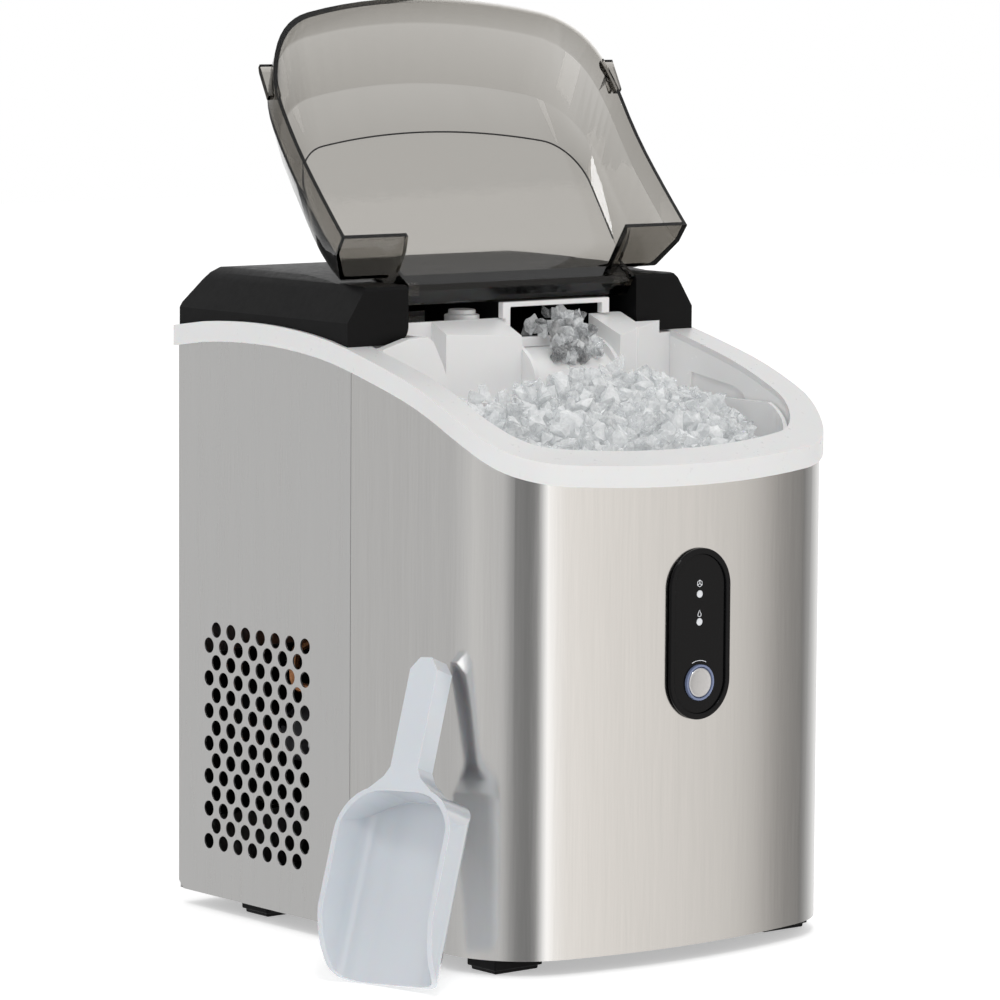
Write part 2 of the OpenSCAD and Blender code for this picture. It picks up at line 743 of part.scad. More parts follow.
module control_button() {
    color("silver") translate([0, front_y - 2.2, button_z]) rotate([-90, 0, 0]) {
        rotate_extrude($fn = 64) polygon([[0, 0.5], [5, 0.3], [6.9, 0], [button_d / 2, 0.5], [button_d / 2, 4],
            [3, 4], [3, 5.7], [0, 5.7]]);
    }
}

board_y = front_y + 6.5;

module button_switch() {
    // Push switch on the board. Its plunger faces the button's stem.
    color([0.2, 0.2, 0.2]) union() {
        slab(-3.2, 3.2, board_y - 1.1, board_y, button_z - 3.2, button_z + 3.2);
        translate([0, board_y - 1, button_z]) rotate([90, 0, 0]) cylinder(h = 0.8, r = 1.7, $fn = 32);
    }
}

module control_board() {
    color([0.1, 0.35, 0.2]) union() {
        slab(-15, 15, board_y, board_y + 1.6, panel_z - 34, panel_z + 34);
        slab(-9, 9, board_y + 1.5, board_y + 4.8, panel_z - 6, panel_z + 6);
        slab(-12, -4, board_y + 1.5, board_y + 4.8, panel_z + 16, panel_z + 26);
    }
}

module power_board() {
    color([0.1, 0.35, 0.2]) union() {
        slab(106, 107.6, 20, 110, 180, 270);
        slab(84, 106, 30, 58, 190, 222);
        slab(92, 106, 66, 84, 188, 206);
        for (i = [0:2]) translate([106, 40 + i * 20, 248]) rotate([0, -90, 0]) cylinder(h = 16, r = 6, $fn = 24);
        // Stand-offs to the side panel.
        for (y = [26, 104], z = [186, 264]) translate([107.6, y, z]) rotate([0, 90, 0]) cylinder(h = 4.9, r = 3, $fn = 24);
    }
}

// ---- refrigeration -------------------------------------------------------------------------

comp_x = 64;
comp_y = 95;
comp_r = 39;
stub_z = 136;

module compressor() {
    color([0.15, 0.15, 0.16]) union() {
        translate([comp_x, comp_y, 0]) rotate_extrude($fn = 72) polygon(concat(
            [[0, 27], [30, 27], [36, 31], [comp_r, 38], [comp_r, 78], [comp_r + 1.5, 79], [comp_r + 1.5, 83],
             [comp_r, 84], [comp_r, 112]],
            [for (i = [1:5]) let (a = 90 * i / 6) [14 + (comp_r - 14) * cos(a), 112 + 22 * sin(a)]],
            [[0, 134]]));
        // Foot plate.
        slab(comp_x - 41, comp_x + 41, comp_y - 32, comp_y + 32, 23, 27.1);
        // Stubs for the discharge and suction lines.
        for (d = [-10, 8]) translate([comp_x + d, comp_y - abs(d), 126]) cylinder(h = stub_z - 126, r = 4.5, $fn = 32);
        // Terminal cover.
        slab(comp_x - 14, comp_x + 14, comp_y - comp_r - 6, comp_y - comp_r + 8, 60, 92);
    }
}

module compressor_mounts() {
    color("dimgray") for (sx = [-1, 1], sy = [-1, 1])
        translate([comp_x + sx * 33, comp_y + sy * 23, pan_z + pan_t]) rotate_extrude($fn = 40)
            polygon([[0, 0], [7, 0], [7, 3], [5.4, 5], [7, 7], [7, 10], [0, 10]]);
}

cond_x0 = -88;
cond_x1 = -10;
fin_n = 18;
cond_end_y = 54.5;

module condenser() {
    fin_pitch = (cond_x1 - cond_x0 - 1) / (fin_n - 1);
    color("silver") union() {
        for (i = [0:fin_n - 1]) slab(cond_x0 + i * fin_pitch, cond_x0 + i * fin_pitch + 1, 36, 56, 22, 134);
        for (row = [0:3]) for (y = [41, 51]) rod([cond_x0 - 3, y, 36 + row * 28], [cond_x1 + 3, y, 36 + row * 28], 2.8);
        // Headers join the tubes at both ends.
        for (x = [cond_x0 - 3, cond_x1 + 3], row = [0:3])
            rod([x, 38, 36 + row * 28], [x, cond_end_y, 36 + row * 28], 2.8);
        // Legs down to the pan.
        for (x = [cond_x0, cond_x1 - 2]) slab(x, x + 2, 38, 54, pan_z + pan_t, 24);
    }
}

drier_x = -1;
drier_y = 76;
drier_z = 70;
capillary_z = 176;
suction_z = 240;
feed_z = 96;

module copper_pipes() {
    color(copper) union() {
        // Discharge line from the compressor's top to the condenser, behind the vents.
        pipe([[comp_x - 10, comp_y - 10, stub_z], [comp_x - 10, comp_y - 10, stub_z + 14], [-20, 64, 148],
            [cond_x0 - 3, 70, 141], [cond_x0 - 3, 70, 120], [cond_x0 - 3, cond_end_y, 120]], 2.8);
        // Suction line from the evaporator back to the compressor.
        pipe([[auger_x + evap_r, auger_y, suction_z], [auger_x + 38, auger_y, suction_z],
            [comp_x + 8, comp_y - 8, 200], [comp_x + 8, comp_y - 8, stub_z]], 3.2);
        // Liquid line from the condenser to the drier.
        pipe([[cond_x1 + 3, cond_end_y, 36], [cond_x1 + 3, 68, 36], [drier_x, drier_y, 48],
            [drier_x, drier_y, drier_z]], 2.2);
        // Capillary from the drier to the evaporator.
        pipe([[drier_x, drier_y, drier_z + 68], [drier_x, drier_y, capillary_z],
            [auger_x - 0.566 * evap_r, auger_y + 0.824 * evap_r, capillary_z]], 1.4);
    }
}

module filter_drier() {
    color(copper) translate([drier_x, drier_y, drier_z]) rotate_extrude($fn = 40) polygon([
        [0, 0], [4, 0], [9, 8], [9, 60], [4, 68], [0, 68]]);
}

fan_y = 119;
fan_r = 36;

module fan_shroud() {
    color(black) difference() {
        union() {
            slab(fan_x - 43, fan_x + 43, 134, rear_y - sheet_t, fan_z - 43, fan_z + 43);
            translate([fan_x, 110, fan_z]) rotate([-90, 0, 0]) cylinder(h = 26, r = fan_r + 4.5, $fn = 72);
            // Three arms carry the motor.
            for (a = [90, 210, 330]) translate([fan_x, 105, fan_z]) rotate([0, a, 0])
                translate([12, 0, -3]) cube([fan_r + 4.5 - 12, 6, 6]);
        }
        translate([fan_x, 111, fan_z]) rotate([-90, 0, 0]) cylinder(h = 40, r = fan_r + 2, $fn = 72);
        translate([fan_x, 100, fan_z]) rotate([-90, 0, 0]) cylinder(h = 12, r = 15.02, $fn = 48);
    }
}

module fan_motor() {
    color("dimgray") translate([fan_x, 0, fan_z]) {
        translate([0, 92, 0]) rotate([-90, 0, 0]) cylinder(h = 19, r = 15, $fn = 48);
        translate([0, 111, 0]) rotate([-90, 0, 0]) cylinder(h = 14, r = 2, $fn = 24);
    }
}

module fan_rotor() {
    color([0.2, 0.2, 0.2]) translate([fan_x, fan_y, fan_z]) difference() {
        union() {
            translate([0, -6, 0]) rotate([-90, 0, 0]) cylinder(h = 12, r = 12, $fn = 48);
            for (i = [0:4]) rotate([0, i * 72, 0]) translate([10, 0, 0]) rotate([32, 0, 0])
                translate([0, -0.8, -9]) cube([fan_r - 11, 1.6, 18]);
        }
        translate([0, -7, 0]) rotate([-90, 0, 0]) cylinder(h = 14, r = 2 + running, $fn = 24);
    }
}

// ---- ice making ----------------------------------------------------------------------------

evap_z0 = 82;
evap_z1 = 270;
evap_r = 15;
bore_r = 12;
shaft_r = 5;

module evaporator() {
    color("silver") translate([auger_x, auger_y, 0]) difference() {
        union() {
            translate([0, 0, evap_z0]) cylinder(h = evap_z1 - evap_z0, r = evap_r, $fn = 60);
            translate([0, 0, evap_z0 - 8]) cylinder(h = 8.1, r = 22, $fn = 60);
        }
        translate([0, 0, evap_z0 - 1]) cylinder(h = 200, r = bore_r, $fn = 60);
        translate([0, 0, evap_z0 - 9]) cylinder(h = 20, r = shaft_r + running, $fn = 40);
        // Water comes in at the foot.
        translate([0, 2 - bore_r, feed_z]) rotate([90, 0, 0]) cylinder(h = 12, r = 2, $fn = 24);
    }
}

module evaporator_jacket() {
    color([0.2, 0.2, 0.2]) translate([auger_x, auger_y, 0]) difference() {
        translate([0, 0, 86]) cylinder(h = 176, r = 27, $fn = 72);
        translate([0, 0, 85]) cylinder(h = 180, r = evap_r, $fn = 60);
        // Ways in for the two refrigerant pipes and the water.
        rod([8, 0, suction_z], [40, 0, suction_z], 4);
        rod([-4.5, 6.55, capillary_z], [-22.6, 32.9, capillary_z], 2.5);
        rod([0, -8, feed_z], [0, -40, feed_z], 3.6);
    }
}

module extruder_head() {
    color("silver") translate([auger_x, auger_y, 0]) difference() {
        translate([0, 0, 262]) cylinder(h = head_top - 262, r = 27, $fn = 72);
        translate([0, 0, 261]) cylinder(h = 9.02, r = evap_r, $fn = 60);
        translate([0, 0, 260]) cylinder(h = 50, r = shaft_r + running, $fn = 40);
        // Channels that press the ice into nuggets.
        for (i = [0:5]) rotate([0, 0, i * 60]) translate([9.6, 0, 268]) cylinder(h = 40, r = 3.2, $fn = 24);
    }
}

flight_turns = 6;
flight_z0 = 96;
flight_z1 = 258;
flight_arc = 34;

// Helical flight round the shaft: a narrow sector, twisted as it rises.
module flight() {
    translate([0, 0, flight_z0]) linear_extrude(flight_z1 - flight_z0, twist = -360 * flight_turns, slices = 72)
        polygon(concat(arc(0, 0, shaft_r - 1, 0, flight_arc, 2), arc(0, 0, bore_r - 0.6, flight_arc, 0, 4)));
}

gear_z = 48;

module auger() {
    color("silver") translate([auger_x, auger_y, 0]) union() {
        translate([0, 0, 38]) cylinder(h = 250, r = shaft_r, $fn = 40);
        flight();
    }
}

// ---- gear drive ----------------------------------------------------------------------------

wheel_teeth = 44;
idler_teeth = 36;
pinion_teeth = 12;
gear_module = 1;
pressure = 25;
mesh_dir_1 = -35;
mesh_dir_2 = 0;
idler_x = auger_x + gear_module * (wheel_teeth + pinion_teeth) / 2 * cos(mesh_dir_1);
idler_y = auger_y + gear_module * (wheel_teeth + pinion_teeth) / 2 * sin(mesh_dir_1);
motor_x = idler_x + gear_module * (idler_teeth + pinion_teeth) / 2 * cos(mesh_dir_2);
motor_y = idler_y + gear_module * (idler_teeth + pinion_teeth) / 2 * sin(mesh_dir_2);
backlash = 0.34;

function involute(a) = tan(a) * 180 / PI - a;

// Outline of a gear with stub teeth, one tooth centred on +X.
function gear_outline(teeth) =
    let (rp = teeth * gear_module / 2,
         rb = rp * cos(pressure),
         ra = rp + 0.75 * gear_module,
         rr = rp - 1.05 * gear_module,
         r0 = max(rb, rr) + 0.001,
         half = 90 / teeth - backlash / rp * 180 / PI / 2 + involute(pressure),
         radii = [for (i = [0:4]) r0 + (ra - r0) * i / 4])
    [for (k = [0:teeth - 1]) let (c = k * 360 / teeth) each concat(
        [[rr * cos(c - half), rr * sin(c - half)]],
        [for (r = radii) let (a = c - half + involute(acos(rb / r))) [r * cos(a), r * sin(a)]],
        [for (i = [4:-1:0]) let (r = radii[i], a = c + half - involute(acos(rb / r))) [r * cos(a), r * sin(a)]],
        [[rr * cos(c + half), rr * sin(c + half)]])];

module gear(teeth, thick) {
    linear_extrude(thick) polygon(gear_outline(teeth));
}

module output_gear() {
    color([0.85, 0.83, 0.7]) translate([auger_x, auger_y, gear_z]) difference() {
        rotate([0, 0, mesh_dir_1]) gear(wheel_teeth, 8);
        translate([0, 0, -1]) cylinder(h = 20, r = shaft_r, $fn = 40);
    }
}

module idler_gear() {
    color([0.85, 0.83, 0.7]) translate([idler_x, idler_y, 0]) difference() {
        union() {
            // Small gear level with the output gear, its gap facing the output gear's tooth.
            translate([0, 0, gear_z - 0.5]) rotate([0, 0, mesh_dir_1 + 180 + 180 / pinion_teeth]) gear(pinion_teeth, 9);
            translate([0, 0, gear_z - 6]) rotate([0, 0, mesh_dir_2]) gear(idler_teeth, 5.5);
        }
        translate([0, 0, 30]) cylinder(h = 40, r = 2 + running, $fn = 24);
    }
}

module motor_pinion() {
    color("silver") translate([motor_x, motor_y, 0]) union() {
        translate([0, 0, gear_z - 6.5]) rotate([0, 0, mesh_dir_2 + 180 + 180 / pinion_teeth]) gear(pinion_teeth, 6.5);
        translate([0, 0, gear_z]) cylinder(h = 24, r = 2.5, $fn = 24);
    }
}

module gearbox_plan(grow) {
    translate([auger_x, auger_y]) circle(r = 24.5 + grow, $fn = 72);
    translate([idler_x, idler_y]) circle(r = 20 + grow, $fn = 72);
    translate([motor_x, motor_y]) circle(r = 13 + grow, $fn = 72);
    translate([motor_x, motor_y]) square([16, 2 * (13 + grow)], center = true);
}

module gear_housing() {
    color([0.5, 0.5, 0.52]) difference() {
        union() {
            translate([0, 0, 36]) linear_extrude(28) gearbox_plan(2.5);
            // Feet down to the pan.
            for (p = [[auger_x - 14, auger_y + 12], [auger_x - 12, auger_y - 14], [motor_x + 6, motor_y]])
                translate([p[0], p[1], pan_z + pan_t]) cylinder(h = 24, r = 5, $fn = 32);
            translate([idler_x, idler_y, 38]) cylinder(h = 24, r = 2, $fn = 24);
            translate([auger_x, auger_y, 60]) cylinder(h = evap_z0 - 68, r = 18, $fn = 60);
        }
        difference() {
            translate([0, 0, 39]) linear_extrude(21) gearbox_plan(0);
            // The idler's fixed pin stays.
            translate([idler_x, idler_y, 38]) cylinder(h = 24, r = 2, $fn = 24);
        }
        // Bearings of the output shaft and the motor shaft's way in.
        translate([auger_x, auger_y, 37]) cylinder(h = 60, r = shaft_r + running, $fn = 40);
        translate([motor_x, motor_y, 55]) cylinder(h = 20, r = 4, $fn = 32);
    }
}

module gear_motor() {
    color("dimgray") translate([motor_x, motor_y, 0]) difference() {
        union() {
            translate([0, 0, 64]) cylinder(h = 50, r = 20.5, $fn = 60);
            translate([0, 0, 114]) cylinder(h = 4, r = 8, $fn = 40);
        }
        translate([0, 0, 63]) cylinder(h = 12, r = 2.5 + running, $fn = 24);
    }
}

// ---- water ---------------------------------------------------------------------------------

tank_z0 = 62;
tank_z1 = 160;
sensor_x = -58;
sensor_y = -74;

module water_tank() {
    color([0.88, 0.92, 0.95]) difference() {
        union() {
            plan_block(14, tank_z0, tank_z1, -34);
            // Legs down to the pan.
            mirrored() for (y = [-108, -48]) slab(66, 82, y, y + 10, pan_z + pan_t, tank_z0 + 1);
        }
        plan_block(16.5, tank_z0 + 2.5, tank_z1 + 5, -36.5);
        translate([pump_x, pump_y, tank_z0 - 1]) cylinder(h = 8, r = 4, $fn = 32);
    }
}

module level_sensor() {
    color([0.85, 0.85, 0.85]) translate([sensor_x, sensor_y, tank_z0 + 2.5]) union() {
        cylinder(h = 60, r = 4, $fn = 32);
        cylinder(h = 6, r = 9, $fn = 32);
        translate([0, 0, 58]) cylinder(h = 3, r = 6, $fn = 32);
    }
}

module water_float() {
    color([0.95, 0.9, 0.6]) translate([sensor_x, sensor_y, tank_z0 + 8.8]) difference() {
        cylinder(h = 16, r = 12, $fn = 40);
        translate([0, 0, -1]) cylinder(h = 20, r = 4 + running, $fn = 32);
    }
}

pump_x = 40;
pump_y = -80;
pump_top = 50;

module water_pump() {
    color([0.25, 0.25, 0.28]) union() {
        translate([pump_x, pump_y, pan_z + pan_t]) cylinder(h = 30, r = 17, $fn = 48);
        translate([pump_x, pump_y, 40]) cylinder(h = pump_top - 40, r = 5, $fn = 32);
        translate([pump_x, pump_y + 14, 26]) rotate([-90, 0, 0]) cylinder(h = 14, r = 4, $fn = 32);
        translate([pump_x - 14, pump_y, 24]) rotate([0, -90, 0]) cylinder(h = 6, r = 4, $fn = 32);
    }
}

module water_hoses() {
    color([0.9, 0.93, 0.96]) union() {
        // From the tank's outlet down to the pump.
        translate([pump_x, pump_y, pump_top]) cylinder(h = tank_z0 - pump_top + 2.5, r = 4, $fn = 32);
        // From the pump to the foot of the evaporator.
        pipe([[pump_x, pump_y + 28, 26], [pump_x, pump_y + 50, 26], [auger_x, -14, 44], [auger_x, -14, feed_z],
            [auger_x, auger_y - evap_r, feed_z]], 2.8);
        // From the pump to the drain.
        pipe([[pump_x - 20, pump_y, 24], [6, pump_y, 24], [-2, -56, 18], [-2, 60, 18], [drain_x, 98, drain_z],
            [drain_x, rear_y - 8, drain_z]], 2.8);
    }
}

module drain_fitting() {
    color(black) difference() {
        union() {
            translate([drain_x, rear_y - 8, drain_z]) rotate([-90, 0, 0]) cylinder(h = 9.8, r = 7.9, $fn = 48);
            translate([drain_x, rear_y, drain_z]) rotate([-90, 0, 0]) cylinder(h = 1.8, r = 10.5, $fn = 48);
        }
        translate([drain_x, rear_y - 5, drain_z]) rotate([-90, 0, 0]) cylinder(h = 20, r = 4.5, $fn = 32);
    }
}

module drain_cap() {
    // Soft plug pushed into the fitting, with a grip outside.
    color([0.3, 0.3, 0.3]) union() {
        translate([drain_x, rear_y - 4.6, drain_z]) rotate([-90, 0, 0]) cylinder(h = 7, r = 4.44, $fn = 32);
        translate([drain_x, rear_y + 2.2, drain_z]) rotate([-90, 0, 0]) cylinder(h = 2.4, r = 8.5, $fn = 48);
        slab(drain_x - 6, drain_x + 6, rear_y + 4.5, rear_y + 10, drain_z - 1.2, drain_z + 1.2);
    }
}

module power_inlet() {
    color(black) difference() {
        union() {
            translate([inlet_x, rear_y - 6, inlet_z]) rotate([-90, 0, 0]) cylinder(h = 12, r = 5.9, $fn = 40);
            translate([inlet_x, rear_y, inlet_z]) rotate([-90, 0, 0]) cylinder(h = 3, r = 9, $fn = 6);
        }
        translate([inlet_x, rear_y - 7, inlet_z]) rotate([-90, 0, 0]) cylinder(h = 20, r = 3.6, $fn = 32);
    }
}

// ---- scoop ---------------------------------------------------------------------------------

handle_w = 17;
handle_d = 12;

// Bowl in its own frame: X across, Z from the lip up to the handle, -Y out of the open side.
module bowl_solid(t) {
    w = scoop_w / 2 - t;
    intersection() {
        // Cross-section with rounded back corners, wider at the open side.
        translate([0, 0, t > 0 ? -5 : 0]) linear_extrude(scoop_len + 5 - (t > 0 ? t : 5)) polygon(concat(
            [[-w, -scoop_deep - (t > 0 ? 5 : 0)]],
            [for (i = [0:8]) let (a = 180 - 90 * i / 8) [-w + 18 + (16 - t / 2) * cos(a), -16 + (16 - t) * sin(a)]],
            [for (i = [0:8]) let (a = 90 - 90 * i / 8) [w - 18 + (16 - t / 2) * cos(a), -16 + (16 - t) * sin(a)]],
            [[w, -scoop_deep - (t > 0 ? 5 : 0)]]));
        // Seen from the open side: rounded shoulders by the handle.
        translate([0, 10, 0]) rotate([90, 0, 0]) linear_extrude(60) polygon(concat(
            [[-w, -6], [w, -6]],
            [for (i = [0:8]) let (a = 90 * i / 8) [w - 24 + 24 * cos(a), scoop_len - t - 24 + 24 * sin(a)]],
            [for (i = [0:8]) let (a = 90 + 90 * i / 8) [-w + 24 + 24 * cos(a), scoop_len - t - 24 + 24 * sin(a)]]));
    }
}

module scoop_upright() {
    difference() {
        union() {
            difference() {
                bowl_solid(0);
                bowl_solid(scoop_t);
                // The side walls fall away to the lip.
                side_prism(concat([[-60, -10], [-1.2, -10], [-1.2, 0]],
                    [for (i = [1:8]) let (a = 90 * i / 8) [-1.2 - (scoop_deep) * sin(a), 44 * (1 - cos(a))]],
                    [[-60, 44]]), -60, 60);
            }
            // Handle: a shallow channel, open at the back, flared where it meets the bowl.
            translate([0, -scoop_deep, 0]) handle();
        }
    }
}

module handle() {
    difference() {
        translate([0, handle_d, 0]) rotate([90, 0, 0]) linear_extrude(handle_d) handle_plan(0);
        translate([0, handle_d + 1, 0]) rotate([90, 0, 0]) linear_extrude(handle_d - scoop_t + 1) handle_plan(scoop_t);
        slab(-50, 50, -1, handle_d + 1, scoop_len - 30, scoop_len - scoop_t);
    }
}

module handle_plan(t) {
    w = handle_w / 2 - t;
    top = scoop_len + handle_len - t;
    polygon([[-w - 12, scoop_len - 2 - t], [w + 12, scoop_len - 2 - t], [w + 3, scoop_len + 5 - t], [w, scoop_len + 10],
        [w, top - 6], [w - 5, top], [-w + 5, top], [-w, top - 6], [-w, scoop_len + 10], [-w - 3, scoop_len + 5 - t]]);
}

scoop_x = -160.5;
scoop_y = -103.5;
scoop_z = 1.25;

module scoop() {
    color([0.82, 0.87, 0.95]) translate([scoop_x, scoop_y, scoop_z])
        rotate([0, 0, scoop_yaw]) rotate([0, scoop_lean, 0]) rotate([scoop_turn, 0, 0]) rotate([0, 0, -90])
            scoop_upright();
}

// ---- assembly ------------------------------------------------------------------------------

base_pan();
feet();
front_shell();
left_side_panel();
right_side_panel();
back_panel();
rim_trim();
top_cover();
hinge_pins();
lid();
bin_liner();
bin_insulation();
ice_basket();
left_housing();
right_housing();
ice_chute();
outlet_frame();
sensor_cap();
ice_outlet_duct();
control_bezel();
control_fascia();
status_lamps();
button_ring();
control_button();
button_switch();
control_board();
power_board();
compressor();
compressor_mounts();
condenser();
filter_drier();
copper_pipes();
fan_shroud();
fan_motor();
fan_rotor();
evaporator();
evaporator_jacket();
extruder_head();
auger();
output_gear();
idler_gear();
motor_pinion();
gear_housing();
gear_motor();
water_tank();
level_sensor();
water_float();
water_pump();
water_hoses();
drain_fitting();
drain_cap();
power_inlet();
case_screws();
scoop();
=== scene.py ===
"""Looks of the countertop ice maker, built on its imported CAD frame."""

import json
import math
import random

import bmesh
import bpy
from mathutils import Euler, Matrix, Vector


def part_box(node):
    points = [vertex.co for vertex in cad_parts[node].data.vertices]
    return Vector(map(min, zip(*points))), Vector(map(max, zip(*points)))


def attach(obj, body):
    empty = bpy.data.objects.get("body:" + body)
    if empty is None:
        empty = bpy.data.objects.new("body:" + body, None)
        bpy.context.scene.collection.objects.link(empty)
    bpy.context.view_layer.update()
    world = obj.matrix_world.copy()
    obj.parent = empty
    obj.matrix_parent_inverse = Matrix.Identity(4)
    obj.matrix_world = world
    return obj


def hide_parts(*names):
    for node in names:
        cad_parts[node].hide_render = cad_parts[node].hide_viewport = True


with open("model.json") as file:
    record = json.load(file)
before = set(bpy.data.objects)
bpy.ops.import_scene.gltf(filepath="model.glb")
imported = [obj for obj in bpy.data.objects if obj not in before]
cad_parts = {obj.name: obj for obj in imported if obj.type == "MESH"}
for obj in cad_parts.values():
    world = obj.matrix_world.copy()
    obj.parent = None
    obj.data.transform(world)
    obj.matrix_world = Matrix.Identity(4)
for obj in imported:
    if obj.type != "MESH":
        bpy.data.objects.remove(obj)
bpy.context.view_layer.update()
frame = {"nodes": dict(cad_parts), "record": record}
NODES = frame["nodes"]
BODY_OF = {n: b for b, ns in frame["record"]["behaviour"]["bodies"].items() for n in ns}
SLOT_OF = {s["node"]: s["material_slot"] for s in frame["record"]["subparts"]}
MM = 0.001


# How strongly the lid's plastic absorbs light, per metre.
SMOKE_DENSITY = 560.0


# ---- materials ------------------------------------------------------------------------------

class Graph:
    """A material's node tree, with the Principled shader and short calls to add nodes."""

    def __init__(self, name):
        self.mat = bpy.data.materials.new(name)
        self.mat.use_nodes = True
        self.tree = self.mat.node_tree
        self.bsdf = self.tree.nodes["Principled BSDF"]
        self.coords = self.node("ShaderNodeTexCoord").outputs["Object"]

    def node(self, kind, **inputs):
        n = self.tree.nodes.new(kind)
        for key, value in inputs.items():
            n.inputs[key].default_value = value
        return n

    def link(self, a, b):
        self.tree.links.new(a, b)

    def stretched(self, scale):
        m = self.node("ShaderNodeMapping")
        m.inputs["Scale"].default_value = scale
        self.link(self.coords, m.inputs["Vector"])
        return m.outputs["Vector"]

    def noise(self, scale, detail=3.0, stretch=None, rough=0.55):
        n = self.node("ShaderNodeTexNoise", Scale=scale, Detail=detail, Roughness=rough)
        self.link(self.stretched(stretch) if stretch else self.coords, n.inputs["Vector"])
        return n.outputs["Fac"]

    def ramp(self, value, stops):
        r = self.node("ShaderNodeValToRGB")
        for i, (at, color) in enumerate(stops):
            e = r.color_ramp.elements[i] if i < 2 else r.color_ramp.elements.new(at)
            e.position = at
            e.color = (*color, 1.0)
        self.link(value, r.inputs["Fac"])
        return r.outputs["Color"]

    def span(self, value, low, high, lo_in=0.3, hi_in=0.7):
        m = self.node("ShaderNodeMapRange")
        for key, v in (("From Min", lo_in), ("From Max", hi_in), ("To Min", low), ("To Max", high)):
            m.inputs[key].default_value = v
        self.link(value, m.inputs["Value"])
        return m.outputs["Result"]

    def add(self, a, b, kind="ADD"):
        m = self.node("ShaderNodeMath")
        m.operation = kind
        self.link(a, m.inputs[0])
        if isinstance(b, float):
            m.inputs[1].default_value = b
        else:
            self.link(b, m.inputs[1])
        return m.outputs["Value"]

    def bump(self, height, distance, strength=1.0, after=None):
        b = self.node("ShaderNodeBump", Strength=strength, Distance=distance)
        self.link(height, b.inputs["Height"])
        if after:
            self.link(after, b.inputs["Normal"])
        self.link(b.outputs["Normal"], self.bsdf.inputs["Normal"])
        return b.outputs["Normal"]

    def set(self, **values):
        for key, v in values.items():
            self.bsdf.inputs[key.replace("_", " ")].default_value = v
        return self


def tinted(color, k):
    return tuple(min(1.0, c * k) for c in color)


def plastic(name, color, rough=0.4, grain=0.00003, grain_scale=1800.0, vary=0.05, **sockets):
    """Moulded plastic: soft mottling, uneven gloss, and the fine grain of the mould."""
    g = Graph(name)
    blotch = g.noise(22.0, 4.0)
    g.link(g.ramp(blotch, [(0.3, tinted(color, 1 - vary)), (0.7, tinted(color, 1 + vary))]),
           g.bsdf.inputs["Base Color"])
    scuff = g.noise(260.0, 5.0, rough=0.65)
    g.link(g.span(scuff, rough * 0.88, rough * 1.15), g.bsdf.inputs["Roughness"])
    first = g.bump(g.noise(grain_scale, 2.0), grain, 0.5)
    g.bump(g.noise(30.0, 1.0), 0.0002, 0.06, after=first)
    g.set(**sockets)
    return g.mat


def brushed(name, color, rough=0.28, along=(1.0, 1.0, 0.02), depth=0.00002, scale=1400.0, vary=0.05,
            **sockets):
    """Brushed sheet metal: long fine streaks in colour, gloss and height."""
    g = Graph(name)
    streak = g.noise(scale, 3.0, stretch=along, rough=0.6)
    wide = g.noise(scale * 0.12, 2.0, stretch=along)
    both = g.add(g.add(streak, 0.7, "MULTIPLY"), g.add(wide, 0.3, "MULTIPLY"))
    g.link(g.ramp(both, [(0.3, tinted(color, 1 - vary)), (0.7, tinted(color, 1 + vary))]),
           g.bsdf.inputs["Base Color"])
    g.link(g.span(both, rough * 0.82, rough * 1.2), g.bsdf.inputs["Roughness"])
    g.bump(streak, depth, 0.5)
    g.set(Metallic=1.0, **sockets)
    return g.mat


def metal(name, color, rough=0.35, vary=0.06, depth=0.00003, scale=900.0, metallic=1.0, **sockets):
    """Cast, drawn or painted metal with a light tooth and slight tarnish."""
    g = Graph(name)
    blotch = g.noise(60.0, 5.0, rough=0.6)
    g.link(g.ramp(blotch, [(0.3, tinted(color, 1 - vary)), (0.7, tinted(color, 1 + vary))]),
           g.bsdf.inputs["Base Color"])
    tooth = g.noise(scale, 3.0)
    g.link(g.span(tooth, rough * 0.85, rough * 1.2), g.bsdf.inputs["Roughness"])
    g.bump(tooth, depth, 0.6)
    g.set(Metallic=metallic, **sockets)
    return g.mat


def smoked(name):
    """Clear smoked plastic: tint grows with thickness, so edges read dark."""
    g = Graph(name)
    haze = g.noise(35.0, 3.0)
    g.link(g.span(haze, 0.02, 0.05), g.bsdf.inputs["Roughness"])
    g.bump(g.noise(14.0, 1.0), 0.0004, 0.05)
    g.set(Base_Color=(0.97, 0.96, 0.95, 1), Transmission_Weight=1.0, IOR=1.42)
    v = g.node("ShaderNodeVolumeAbsorption", Color=(0.366, 0.345, 0.302, 1), Density=SMOKE_DENSITY)
    out = next(n for n in g.tree.nodes if n.type == "OUTPUT_MATERIAL")
    g.link(v.outputs["Volume"], out.inputs["Volume"])
    return g.mat


def ice(name, clear, milk_and_glow):
    """Nugget ice: part clear, part full of tiny bubbles, with a wet crumbled surface and a faint painted
    glow.
    """
    g = Graph(name)
    cloud = g.noise(160.0, 4.0, rough=0.65)
    g.link(g.ramp(cloud, [(0.38, tinted((0.93, 0.945, 0.955), milk_and_glow)),
                          (0.6, tinted((0.97, 0.98, 0.985), milk_and_glow))]),
           g.bsdf.inputs["Base Color"])
    g.link(g.span(cloud, clear, clear * 0.4), g.bsdf.inputs["Transmission Weight"])
    g.link(g.span(g.noise(300.0, 3.0), 0.02, 0.14), g.bsdf.inputs["Roughness"])
    g.bump(g.noise(330.0, 4.0, rough=0.65), 0.0006, 0.5)
    # Painted glow: the ice gives off a little light of its own, more the milkier it is; the milky tint
    # above is the bubbles.
    g.set(IOR=1.31, Specular_IOR_Level=0.7, Emission_Color=(0.97, 0.99, 1.0, 1),
          Emission_Strength=0.12 * (milk_and_glow - 0.55))
    return g.mat


